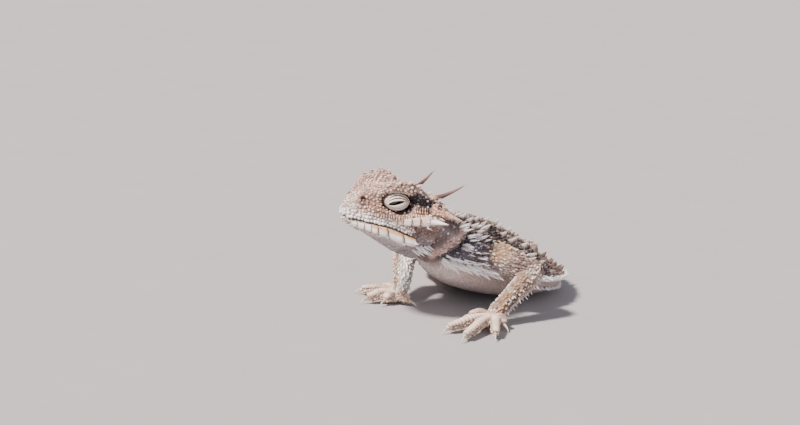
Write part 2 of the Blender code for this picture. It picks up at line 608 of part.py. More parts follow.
def build_trunk():
    draw = np.random.default_rng(SEED)
    across_gap = GAP / 6
    neck = trunk_block("neck", 0.12, NECK_END - across_gap, 8)
    torso = trunk_block("torso", NECK_END, TORSO_END, 26)
    tail = trunk_block("tail", TORSO_END + across_gap, PATH_S[-1], 16)
    combine(neck, [p for p in neck_spikes(draw) if p], "UNION")
    combine(neck, [head_block("clear", GAP)], "DIFFERENCE")
    combine(torso, [p for p in back_spikes(draw) + fringe_spikes(draw) if p], "UNION")
    combine(tail, [p for p in tail_spikes(draw) if p], "UNION")
    return [neck, torso, tail]


# Limbs

def between(a, b, share, radius_scale=1.0):
    (pa, ra), (pb, rb) = a, b
    point = np.array(pa) + (np.array(pb) - np.array(pa)) * share
    return tuple(point), (ra + (rb - ra) * share) * radius_scale


def segment(name, first, second, bulge, grown=0.0):
    """One length of a limb between two joints, fullest at a third of its way."""
    joints = [first, between(first, second, 0.35, bulge), between(first, second, 0.7, 0.98), second]
    return loft(name, tube_rings([j[0] for j in joints], [j[1] for j in joints], LIMB_SIDES, grown))


def edge_spikes(draw, first, second, way, lengths, width, start=0.15, end=0.95):
    """A row of spines along one edge of a limb segment."""
    found = []
    (a, ra), (b, rb) = first, second
    a, b = np.array(a), np.array(b)
    along = unit(b - a)
    way = unit(np.array(way) - along * np.dot(way, along))
    for share, length in zip(np.linspace(start, end, len(lengths)), lengths):
        root = a + (b - a) * share + way * (ra + (rb - ra) * share) * 0.92
        lean = unit(way + along * draw.uniform(0.25, 0.6) + np.array([0, 0, draw.uniform(-0.1, 0.25)]))
        found.append(spike(root, lean, length * draw.uniform(0.85, 1.15), width, width * 0.7, along, 0.6))
    return found


def digit(root, tip):
    """A finger or toe that arches to the ground, with its claw hooked down at the end."""
    root, tip = np.array(root), np.array(tip)
    reach = np.linalg.norm(tip - root)
    pad = 1 - CLAW_LENGTH / reach
    shares = [share * pad for share in DIGIT_SHARES] + [pad + 0.25 * (1 - pad), 1.0]
    heights = [share * FINGER_RADIUS for share in DIGIT_HEIGHTS] + list(CLAW_HEIGHTS)
    widths = [share * FINGER_RADIUS for share in DIGIT_WIDTHS] + list(CLAW_WIDTHS)
    angle = np.arange(DIGIT_SIDES) * 2 * math.pi / DIGIT_SIDES
    side = np.cross(np.append((tip - root) / reach, 0.0), (0, 0, 1))
    ring = np.cos(angle)[:, None] * side + np.sin(angle)[:, None] * np.array([0, 0, 1.0])
    rings = np.array([
        np.append(root + (tip - root) * share, height) + width * ring
        for share, height, width in zip(shares, heights, widths)
    ])
    rings[..., 2] = np.maximum(rings[..., 2], 0.0)
    return loft("digit", rings)


def extremity(name, joint, tips, reach):
    """A hand or foot: a low palm from the joint towards the middle tip, and five digits."""
    (x, y, _), _ = joint
    wrist = np.array([x, y])
    middle = np.mean([np.array(t) for t in tips[1:4]], axis=0)
    ahead = unit(middle - wrist)
    line = [(*(wrist + ahead * reach * share), z) for share, z in zip((0.0, 0.5, 1.0), PALM_HEIGHTS)]
    palm = loft(name, tube_rings(line, PALM_RADII, LIMB_SIDES, 0.0, 0.75))
    across = np.array([ahead[1], -ahead[0]])
    digits = []
    for tip in tips:
        spread = np.dot(unit(np.array(tip) - wrist), across)
        root = wrist + ahead * reach * (0.9 - 0.5 * abs(spread)) + across * spread * PALM_SPREAD
        digits.append(digit(root, tip))
    return combine(palm, digits, "UNION")


def limb_rows(draw, limb, side, top):
    """The rows of spines on the upper and the lower length of a limb."""
    if top == "shoulder":
        upper, lower = (limb["shoulder"], limb["elbow"]), (limb["elbow"], limb["wrist"])
        behind, above = UPPER_ARM_ROWS
        return (
            edge_spikes(draw, *upper, (0.1 * side, 0.9, 0.3), *behind)
            + edge_spikes(draw, *upper, (0, -0.3, 1), *above),
            edge_spikes(draw, *lower, (side * 0.5, 0.75, 0.35), *FOREARM_ROW),
        )
    upper, lower = (limb["hip"], limb["knee"]), (limb["knee"], limb["ankle"])
    return (
        edge_spikes(draw, *upper, (0, -0.6, 0.8), *THIGH_ROW),
        edge_spikes(draw, *lower, (side * 0.9, 0, 0.5), *SHIN_ROW),
    )


def build_limb(draw, side, word):
    limb = LIMBS[word]
    nodes = []
    plan = (
        (("upper_arm_", "forearm_", "hand_"), ("shoulder", "elbow", "wrist", "fingers"), 1.0, HAND_REACH),
        (("thigh_", "shin_", "foot_"), ("hip", "knee", "ankle", "toes"), 1.08, FOOT_REACH),
    )
    for names, (top, middle, low, tips), bulge, reach in plan:
        upper_name, lower_name, end_name = (name + word for name in names)
        upper = segment(upper_name, limb[top], limb[middle], bulge)
        lower = segment(lower_name, limb[middle], limb[low], LOWER_BULGE)
        end = extremity(end_name, limb[low], limb[tips], reach)
        upper_row, lower_row = limb_rows(draw, limb, side, top)
        combine(upper, upper_row, "UNION")
        combine(lower, lower_row, "UNION")
        combine(upper, [trunk_block("clear", 0.3, PATH_S[-1], 40, GAP)], "DIFFERENCE")
        combine(lower, [segment("clear", limb[top], limb[middle], bulge, GAP),
                        trunk_block("clear", 0.3, PATH_S[-1], 40, GAP)], "DIFFERENCE")
        combine(end, [segment("clear", limb[top], limb[middle], bulge, GAP),
                      segment("clear", limb[middle], limb[low], LOWER_BULGE, GAP),
                      trunk_block("clear", 0.3, PATH_S[-1], 40, GAP)], "DIFFERENCE")
        nodes += [upper, lower, end]
    return nodes


def main():
    for old in list(bpy.data.objects):
        bpy.data.objects.remove(old, do_unlink=True)
    animal = bpy.data.collections.new("horned lizard")
    bpy.context.scene.collection.children.link(animal)
    nodes = build_head() + build_trunk()
    draw = np.random.default_rng(SEED + 1)
    for side, word in ((1, "left"), (-1, "right")):
        nodes += build_limb(draw, side, word)
    finishes = {name: material(name) for name in COLOURS}
    for node in nodes:
        kind = EYE if node.name.startswith("eye") else HORN if node.name.startswith("horn") else SKIN
        node.data.materials.clear()
        node.data.materials.append(finishes[kind])
        node.data.shade_smooth()
        node.data.set_sharp_from_angle(angle=math.radians(35))
        bpy.context.scene.collection.objects.unlink(node)
        animal.objects.link(node)


main()
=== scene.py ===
"""Desert horned lizard, life size: one skin with its scales, spines, plates, lids, eyes, horns and claws.

Shapes are worked out in the animal's own frame, in millimetres: forward is -Y, its left is +X and the ground
is z = 0. The head has a frame of its own (forward, left, up). publish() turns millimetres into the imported
model's metres. Each scale or spine is one small grid carried to its root with whole-array arithmetic.
"""

from __future__ import annotations

import logging
import math
from dataclasses import dataclass, field
from enum import Enum, IntEnum

import bpy
import numpy as np
from mathutils import Matrix, Vector, kdtree

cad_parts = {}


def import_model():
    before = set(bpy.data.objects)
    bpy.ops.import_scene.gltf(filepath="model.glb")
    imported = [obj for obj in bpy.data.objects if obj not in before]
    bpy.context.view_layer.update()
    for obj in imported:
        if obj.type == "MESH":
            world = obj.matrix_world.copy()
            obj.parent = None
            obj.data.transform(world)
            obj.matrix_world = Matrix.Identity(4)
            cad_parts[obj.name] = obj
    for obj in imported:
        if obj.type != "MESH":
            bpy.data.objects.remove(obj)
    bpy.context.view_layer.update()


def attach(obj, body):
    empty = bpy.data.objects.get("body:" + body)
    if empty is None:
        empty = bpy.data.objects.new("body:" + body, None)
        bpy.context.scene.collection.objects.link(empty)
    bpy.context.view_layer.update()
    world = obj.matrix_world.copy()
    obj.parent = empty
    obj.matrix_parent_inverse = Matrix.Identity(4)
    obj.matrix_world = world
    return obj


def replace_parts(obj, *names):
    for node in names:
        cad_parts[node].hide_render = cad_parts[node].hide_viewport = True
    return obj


LOG = logging.getLogger("horned_lizard")
Array = np.ndarray

MM = 0.001
ORIGIN = np.array([-9.75, 16.9, 0.0])
SEED = 23
FLESH = [
    "head", "jaw", "neck", "torso", "tail",
    *[f"{part}_{side}" for side in ("left", "right")
      for part in ("upper_arm", "forearm", "hand", "thigh", "shin", "foot")],
]


# Numbers


def smooth(x: Array | float, xs: list[float] | Array, ys: list[float] | Array) -> Array:
    """A cubic through (xs, ys) whose slope at each point is that of its two neighbours, read at x.

    Args:
        x: where to read it.
        xs: places of the points, rising.
        ys: heights of the points.

    Returns:
        The heights at x.
    """
    xs, ys, x = np.asarray(xs, float), np.asarray(ys, float), np.asarray(x, float)
    slopes = np.gradient(ys, xs)
    i = np.clip(np.searchsorted(xs, x) - 1, 0, len(xs) - 2)
    step = xs[i + 1] - xs[i]
    t = np.clip((x - xs[i]) / step, 0.0, 1.0)
    rise = (1 + 2 * t) * (1 - t) ** 2 * ys[i] + t * t * (3 - 2 * t) * ys[i + 1]
    return rise + step * t * (1 - t) * ((1 - t) * slopes[i] - t * slopes[i + 1])


def unit(v: Array) -> Array:
    """The same directions with length 1."""
    v = np.asarray(v, float)
    return v / np.maximum(np.linalg.norm(v, axis=-1, keepdims=True), 1e-9)


def ramp(x: Array, low: float, high: float) -> Array:
    """0 below low, 1 above high and an even S between; high may be the smaller one."""
    t = np.clip((np.asarray(x, float) - low) / (high - low), 0.0, 1.0)
    return t * t * (3 - 2 * t)


def bump(x: Array, middle: float, width: float) -> Array:
    """A bell of height 1 round middle."""
    return np.exp(-(((np.asarray(x, float) - middle) / width) ** 2))


def wobble(points: Array, size: float, seed: int) -> Array:
    """Smooth random values from -1 to 1: the sum of five plane waves with random ways and phases.

    Args:
        points: (n, 3) places.
        size: length of a wave.
        seed: which waves.

    Returns:
        (n,) values.
    """
    draw = np.random.default_rng(seed)
    ways = unit(draw.normal(size=(5, 3))) * (2 * math.pi / size) * draw.uniform(0.7, 1.5, (5, 1))
    phases = draw.uniform(0, 2 * math.pi, 5)
    return np.sin(points @ ways.T + phases).sum(axis=-1) / 3.2


def linear(code: str) -> Array:
    """An sRGB hex code as linear red, green and blue."""
    value = np.array([int(code[i:i + 2], 16) for i in (1, 3, 5)]) / 255
    return np.where(value <= 0.04045, value / 12.92, ((value + 0.055) / 1.055) ** 2.4)


def nearest(points: Array, others: Array) -> Array:
    """For each point, which of the others lies nearest, from blocks of squared distances.

    Args:
        points: (n, 3) places.
        others: (m, 3) places.

    Returns:
        (n,) indices into others.
    """
    others = others.astype(np.float32)
    size = (others**2).sum(axis=1)
    blocks = np.array_split(points.astype(np.float32), max(1, len(points) // 3000))
    return np.concatenate([np.argmin(size - 2 * block @ others.T, axis=1) for block in blocks])


# Colours


class Tone(Enum):
    """Colours of the live animal, and of painted shade and shadow, as sRGB hex codes."""

    SAND = "#B99C88"
    GREY = "#7C6A64"
    SLATE = "#4B403F"
    CHARCOAL = "#282223"
    NIGHT = "#2E2A33"
    PINK = "#DCBAAD"
    ROSE = "#B18475"
    BROWN = "#7D6355"
    CREAM = "#EADFD2"
    WHITE = "#FCFAF8"
    OCHRE = "#CFA066"
    PEACH = "#D6A88B"
    BELLY = "#DCCCC8"
    CHEST = "#B9A39D"
    LILAC = "#A39AA0"
    DUSK = "#6E6B78"
    TOE = "#F5DAC4"
    LID = "#E6DCCD"
    LID_LOW = "#EBDDD6"
    HORN = "#5E4139"
    HORN_MIDDLE = "#82645C"
    CLAW = "#E9DBC6"
    EAR = "#786663"

    @property
    def rgb(self) -> Array:
        """The colour as linear values."""
        return linear(self.value)


def blend(base: Array, tone: Tone, amount: Array | float) -> Array:
    """Mixes a tone into colours by an amount from 0 to 1 for each."""
    amount = np.clip(np.broadcast_to(amount, base.shape[:-1]), 0, 1)[..., None]
    return base * (1 - amount) + tone.rgb * amount


def flat(tone: Tone, count: int) -> Array:
    """The same tone count times."""
    return np.tile(tone.rgb, (count, 1))


# Meshes


@dataclass
class Surface:
    """Points and faces of one mesh in the animal's frame, with a colour and a chart place for each point."""

    points: Array
    faces: list[Array]
    tint: Array | None = None
    chart: Array | None = None

    @staticmethod
    def join(parts: list[Surface]) -> Surface:
        """One surface from several; all or none of them carry tint and chart."""
        starts = np.cumsum([0] + [len(part.points) for part in parts[:-1]])
        faces = [block + start for part, start in zip(parts, starts) for block in part.faces]
        tints = [part.tint for part in parts]
        charts = [part.chart for part in parts]
        return Surface(
            np.concatenate([part.points for part in parts]), faces,
            None if any(tint is None for tint in tints) else np.concatenate(tints),
            None if any(chart is None for chart in charts) else np.concatenate(charts),
        )

    def mesh(self, name: str, scale: float = MM) -> bpy.types.Mesh:
        """A Blender mesh of it, with its attributes written as whole arrays."""
        mesh = bpy.data.meshes.new(name)
        loops = np.concatenate([block.ravel() for block in self.faces]).astype(np.int32)
        sizes = np.concatenate([np.full(len(block), block.shape[1]) for block in self.faces])
        mesh.vertices.add(len(self.points))
        mesh.loops.add(len(loops))
        mesh.polygons.add(len(sizes))
        shift = ORIGIN if scale == MM else 0.0
        mesh.vertices.foreach_set("co", ((self.points - shift) * scale).astype(np.float32).ravel())
        mesh.loops.foreach_set("vertex_index", loops)
        mesh.polygons.foreach_set("loop_start", (np.cumsum(sizes) - sizes).astype(np.int32))
        mesh.update(calc_edges=True)
        if self.tint is not None:
            colours = np.concatenate([self.tint, np.ones((len(self.tint), 1))], axis=1)
            layer = mesh.attributes.new("tint", "FLOAT_COLOR", "POINT")
            layer.data.foreach_set("color", colours.astype(np.float32).ravel())
        if self.chart is not None:
            layer = mesh.uv_layers.new(name="OFBake")
            layer.data.foreach_set("uv", self.chart[loops].astype(np.float32).ravel())
        mesh.validate()
        return mesh


def publish(name: str, surface: Surface, material: bpy.types.Material) -> bpy.types.Object:
    """Puts a surface into the scene as a piece that rides on the body.

    Args:
        name: name of the piece.
        surface: its points and faces in millimetres.
        material: its finish.

    Returns:
        The object, at the origin, unturned and unscaled.
    """
    mesh = surface.mesh(name)
    mesh.materials.append(material)
    mesh.shade_smooth()
    piece = bpy.data.objects.new(name, mesh)
    bpy.context.scene.collection.objects.link(piece)
    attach(piece, "root")
    triangles = int(sum(len(block) * (block.shape[1] - 2) for block in surface.faces))
    LOG.info("%s: %d triangles", name, triangles)
    return piece


def grid_faces(rows: int, columns: int, wrap: bool) -> Array:
    """Quads of a grid of points, row by row; wrap closes each row into a ring."""
    i, j = np.meshgrid(np.arange(rows - 1), np.arange(columns if wrap else columns - 1), indexing="ij")
    k = (j + 1) % columns
    return np.stack([i * columns + j, i * columns + k, (i + 1) * columns + k, (i + 1) * columns + j], -1).reshape(-1, 4)


def tube(rings: Array) -> Surface:
    """A closed tube through rings (count, sides, 3), each end closed by a fan to its middle."""
    count, sides = rings.shape[:2]
    points = np.concatenate([rings.reshape(-1, 3), rings[:1].mean(axis=1), rings[-1:].mean(axis=1)])
    j = np.arange(sides)
    k = (j + 1) % sides
    first = np.stack([np.full(sides, count * sides), k, j], axis=1)
    last = np.stack([np.full(sides, count * sides + 1), j + (count - 1) * sides, k + (count - 1) * sides], axis=1)
    return Surface(points, [grid_faces(count, sides, True), first, last])


# Body forms


class Part(IntEnum):
    """Which form a point of the skin belongs to. Its number picks the chart for OFBake."""

    HEAD = 0
    TRUNK = 1
    UPPER_LEFT = 2
    LOWER_LEFT = 3
    END_LEFT = 4
    UPPER_RIGHT = 5
    LOWER_RIGHT = 6
    END_RIGHT = 7
    THIGH_LEFT = 8
    SHIN_LEFT = 9
    FOOT_LEFT = 10
    THIGH_RIGHT = 11
    SHIN_RIGHT = 12
    FOOT_RIGHT = 13


@dataclass
class Samples:
    """Points read off the forms: place, the way its scales lie, and two numbers along and around."""

    points: Array
    lie: Array
    along: Array
    around: Array
    part: Array

    @staticmethod
    def of(points: Array, lie: Array, along: Array, around: Array, part: int) -> Samples:
        """Samples of one form; the arrays have any shape that fits the points'."""
        shape = points.shape[:-1]
        return Samples(
            points.reshape(-1, 3), np.broadcast_to(lie, points.shape).reshape(-1, 3),
            np.broadcast_to(along, shape).ravel(), np.broadcast_to(around, shape).ravel(),
            np.full(int(np.prod(shape)), part),
        )

    @staticmethod
    def join(parts: list[Samples]) -> Samples:
        """All samples in one."""
        return Samples(*(np.concatenate([getattr(part, name) for part in parts])
                         for name in ("points", "lie", "along", "around", "part")))

    def pick(self, index: Array) -> Samples:
        """Those at the indices."""
        return Samples(self.points[index], self.lie[index], self.along[index], self.around[index],
                       self.part[index])


@dataclass
class Head:
    """The head: a loft through half outlines of seven points, from crown to chin, at each place forward."""

    at: tuple[float, float, float] = (-1.5, -10.5, 26.0)
    yaw: float = math.radians(28.6)
    pitch: float = math.radians(7.0)
    back: float = -1.6
    length: float = 17.4
    forward: list[float] = field(default_factory=lambda: [-2.0, 0.0, 3.0, 6.0, 8.8, 11.1, 13.2, 15.0, 16.6, 17.4])
    lefts: list[list[float]] = field(default_factory=lambda: [
        [6.4, 6.6, 6.8, 6.9, 6.3, 5.6, 4.6, 3.2, 1.9, 0.9],
        [7.2, 7.5, 7.0, 6.1, 5.5, 5.1, 4.5, 3.4, 2.2, 1.1],
        [7.8, 8.5, 8.3, 7.4, 6.5, 5.9, 4.9, 3.7, 2.4, 1.2],
        [6.4, 6.8, 6.8, 6.6, 6.1, 5.6, 4.8, 3.7, 2.4, 1.2],
        [5.6, 6.2, 6.7, 6.6, 6.0, 5.4, 4.6, 3.4, 2.1, 1.0],
    ])
    ups: list[list[float]] = field(default_factory=lambda: [
        [-0.7, 0.0, 0.7, 1.3, 1.4, 1.1, 0.4, -1.0, -3.0, -4.9],
        [-1.3, -0.5, 1.2, 2.9, 2.6, 1.9, 0.6, -1.4, -3.4, -4.9],
        [-3.2, -3.0, -2.6, -2.0, -1.6, -1.6, -2.0, -3.0, -4.2, -5.3],
        [-4.8, -4.6, -4.5, -4.4, -4.3, -4.2, -4.2, -4.4, -5.0, -5.7],
        [-8.6, -8.6, -8.4, -7.6, -6.8, -6.5, -6.5, -6.4, -6.3, -6.2],
        [-9.6, -9.9, -10.1, -9.9, -9.5, -8.9, -8.3, -7.8, -7.3, -6.8],
        [-14.0, -14.3, -13.7, -12.5, -11.2, -10.1, -9.35, -8.6, -7.9, -7.0],
    ])
    mouth_x: list[float] = field(default_factory=lambda: [4.6, 8.5, 12.0, 17.4])
    mouth_z: list[float] = field(default_factory=lambda: [-8.1, -6.9, -6.5, -6.5])

    def __post_init__(self) -> None:
        """Works out the three axes of the head's frame."""
        ahead = np.array([-math.sin(self.yaw) * math.cos(self.pitch), -math.cos(self.yaw) * math.cos(self.pitch),
                          math.sin(self.pitch)])
        left = np.array([math.cos(self.yaw), -math.sin(self.yaw), 0.0])
        self.axes = np.array([ahead, left, np.cross(ahead, left)])
        self.place = np.array(self.at)

    def out(self, local: Array | tuple) -> Array:
        """Points of the head's frame in the animal's frame."""
        return self.place + np.asarray(local, float) @ self.axes

    def way(self, local: Array | tuple) -> Array:
        """Directions of the head's frame in the animal's frame."""
        return unit(np.asarray(local, float) @ self.axes)

    def inside(self, points: Array) -> Array:
        """Points of the animal's frame in the head's frame."""
        return (points - self.place) @ self.axes.T

    def outline(self, x: Array, grown: float = 0.0) -> tuple[Array, Array]:
        """The half outline at x from crown to chin, its points moved away from its middle by grown.

        Args:
            x: (n,) places forward.
            grown: how far out, in millimetres.

        Returns:
            (n, 7) lefts and ups.
        """
        x = np.asarray(x, float)
        lefts = np.stack([0 * x, *(smooth(x, self.forward, row) for row in self.lefts), 0 * x], axis=-1)
        ups = np.stack([smooth(x, self.forward, row) for row in self.ups], axis=-1)
        middle = ups.mean(axis=-1, keepdims=True)
        away = np.sqrt(lefts**2 + (ups - middle) ** 2)
        return lefts * (1 + grown / away), middle + (ups - middle) * (1 + grown / away)

    def rings(self, xs: Array, sides: int, grown: float = 0.0) -> Array:
        """Closed rings: the half outline and its mirror image, read evenly as one smooth curve."""
        lefts, ups = self.outline(xs, grown)
        loop = np.stack([np.concatenate([lefts, -lefts[:, -2:0:-1]], axis=1),
                         np.concatenate([ups, ups[:, -2:0:-1]], axis=1)], axis=-1)
        count = loop.shape[1]
        at = np.arange(-2, count + 3)
        wrapped = loop[:, at % count]
        even = np.arange(sides) * count / sides
        slopes = np.gradient(wrapped, axis=1)
        i = np.searchsorted(at, even, side="right") - 1
        t = (even - at[i])[None, :, None]
        a, b = wrapped[:, i], wrapped[:, i + 1]
        ring = ((1 + 2 * t) * (1 - t) ** 2 * a + t * t * (3 - 2 * t) * b
                + t * (1 - t) * ((1 - t) * slopes[:, i] - t * slopes[:, i + 1]))
        xs = np.broadcast_to(np.asarray(xs, float)[:, None, None], (*ring.shape[:2], 1))
        return np.concatenate([xs, ring], axis=-1)

    def side(self, x: Array | float, row: float, side: int, grown: float = 0.0) -> Array:
        """Points on one side of the head at x, at a row of the outline: 1 brow, 2 orbit, 3 cheek, 4 lip, 5 jaw.

        Args:
            x: places forward.
            row: which row, or a place between two.
            side: 1 for the left, -1 for the right.
            grown: how far out of the surface.

        Returns:
            Points in the head's frame.
        """
        x = np.asarray(x, float)
        lefts, ups = self.outline(x, grown)
        i, t = int(row), row - int(row)
        return np.stack([x, side * (lefts[..., i] * (1 - t) + lefts[..., i + 1] * t),
                         ups[..., i] * (1 - t) + ups[..., i + 1] * t], axis=-1)

    def mouth(self, x: Array) -> Array:
        """Height of the line of the mouth at x."""
        return smooth(x, self.mouth_x, self.mouth_z)

    def form(self, inset: float) -> tuple[Surface, Samples]:
        """The closed loft of the head, inset all round, with its samples."""
        share = np.linspace(0, 1, 70)
        xs = self.back + (self.length - inset - self.back) * (1 - (1 - share) ** 1.25)
        rings = self.rings(np.clip(xs, self.forward[0], self.forward[-1]), 96, -inset)
        points = self.out(rings)
        sideways = rings[..., 1:2] / 9
        lie = self.way(np.concatenate([-np.ones_like(sideways), sideways * 0.3, -np.abs(sideways) * 0.35], axis=-1))
        around = np.broadcast_to(np.arange(96) / 96, points.shape[:2])
        return tube(points), Samples.of(points, lie, (rings[..., 0] + 2) / 20, around, Part.HEAD)


@dataclass
class Trunk:
    """Neck, torso and tail: sixteen stations along a middle line on the ground, each a rounded section."""

    path_y: list[float] = field(default_factory=lambda: [
        -9.9, -6.8, -3.5, 2.0, 8.0, 14.0, 19.5, 24.8, 29.8, 34.2, 38.4, 42.5, 46.9, 51.3, 55.9, 60.5])
    path_x: list[float] = field(default_factory=lambda: [
        -1.1, 0.2, 0.8, 0.7, 0.4, -0.2, -1.4, -3.2, -5.7, -8.5, -11.6, -14.8, -18.3, -21.5, -24.4, -26.8])
    top_z: list[float] = field(default_factory=lambda: [
        25.8, 23.2, 21.2, 20.2, 18.6, 15.9, 13.0, 10.4, 8.8, 7.8, 6.9, 6.0, 4.9, 3.7, 2.5, 1.1])
    low_z: list[float] = field(default_factory=lambda: [
        12.3, 9.2, 6.6, 4.0, 1.7, 0.2, -0.6, -0.7, -0.7, -0.7, -0.6, -0.5, -0.4, -0.3, -0.3, -0.2])
    half_width: list[float] = field(default_factory=lambda: [
        6.3, 6.6, 8.2, 10.8, 13.6, 15.9, 16.9, 16.5, 14.3, 10.8, 7.5, 5.3, 3.9, 2.8, 1.8, 0.5])
    side_z: list[float] = field(default_factory=lambda: [
        20.4, 17.0, 13.8, 10.8, 8.3, 6.2, 4.7, 3.7, 3.1, 3.0, 2.9, 2.7, 2.3, 1.7, 1.1, 0.5])
    edge: list[float] = field(default_factory=lambda: [
        0.92, 0.92, 0.92, 0.95, 1.0, 1.12, 1.3, 1.5, 1.5, 1.25, 1.0, 0.92, 0.92, 0.92, 0.92, 0.92])
    low_edge: float = 0.92
    neck_end: float = 2.3
    torso_end: float = 10.6

    def frame(self, s: Array) -> tuple[Array, Array, Array]:
        """Middle point, the way back and the way left on the ground at station s."""
        s = np.asarray(s, float)
        stations = np.arange(16.0)
        here = np.stack([smooth(s, stations, self.path_x), smooth(s, stations, self.path_y)], axis=-1)
        ahead, behind = np.clip(s - 0.15, 0, 15), np.clip(s + 0.15, 0, 15)
        back = unit(np.stack([
            smooth(behind, stations, row) - smooth(ahead, stations, row) for row in (self.path_x, self.path_y)
        ], axis=-1))
        return here, back, np.stack([back[..., 1], -back[..., 0]], axis=-1)

    def point(self, s: Array, angle: Array, inset: float = 0.0) -> Array:
        """Points of the skin: angle 0 is the left side and a quarter turn the ridge of the back.

        The section is cos and sin of the angle raised to a power, widened to the half width and raised to the
        top or lowered to the belly, and never below the ground. Above 1 the power makes a lens with an edge.

        Args:
            s: stations.
            angle: angles round the body.
            inset: how far inside the solid.

        Returns:
            (..., 3) points.
        """
        s, angle = np.broadcast_arrays(np.asarray(s, float), np.asarray(angle, float))
        here, _, left = self.frame(s)
        stations = np.arange(16.0)
        width = np.maximum(smooth(s, stations, self.half_width) - inset, 0.2)
        top, low, mid = (smooth(s, stations, z) for z in (self.top_z, self.low_z, self.side_z))
        power = np.where(np.sin(angle) > 0, smooth(s, stations, self.edge), self.low_edge)
        across = np.sign(np.cos(angle)) * np.abs(np.cos(angle)) ** power * width
        reach = np.maximum(np.where(np.sin(angle) > 0, top - mid, mid - low) - inset, 0.2)
        z = mid + np.sign(np.sin(angle)) * np.abs(np.sin(angle)) ** power * reach
        return np.concatenate([here + left * across[..., None], np.maximum(z, inset * 0.6)[..., None]], axis=-1)

    def out(self, s: Array, angle: Array) -> Array:
        """The way straight out of the skin."""
        step = 0.02
        along = self.point(s + step, angle) - self.point(s - step, angle)
        around = self.point(s, angle + step) - self.point(s, angle - step)
        return unit(np.cross(along, around))

    def form(self, inset: float) -> tuple[Surface, Samples]:
        """The closed loft from nape to tail tip with its samples."""
        s, angle = np.linspace(0.05, 14.97, 170)[:, None], (np.arange(96) * 2 * math.pi / 96)[None]
        points = self.point(s, angle, inset)
        _, back, _ = self.frame(np.broadcast_to(s, points.shape[:2]))
        lie = np.concatenate([back, np.full((*points.shape[:2], 1), -0.15)], axis=-1)
        return tube(points), Samples.of(points, unit(lie), s / 15, angle / (2 * math.pi), Part.TRUNK)


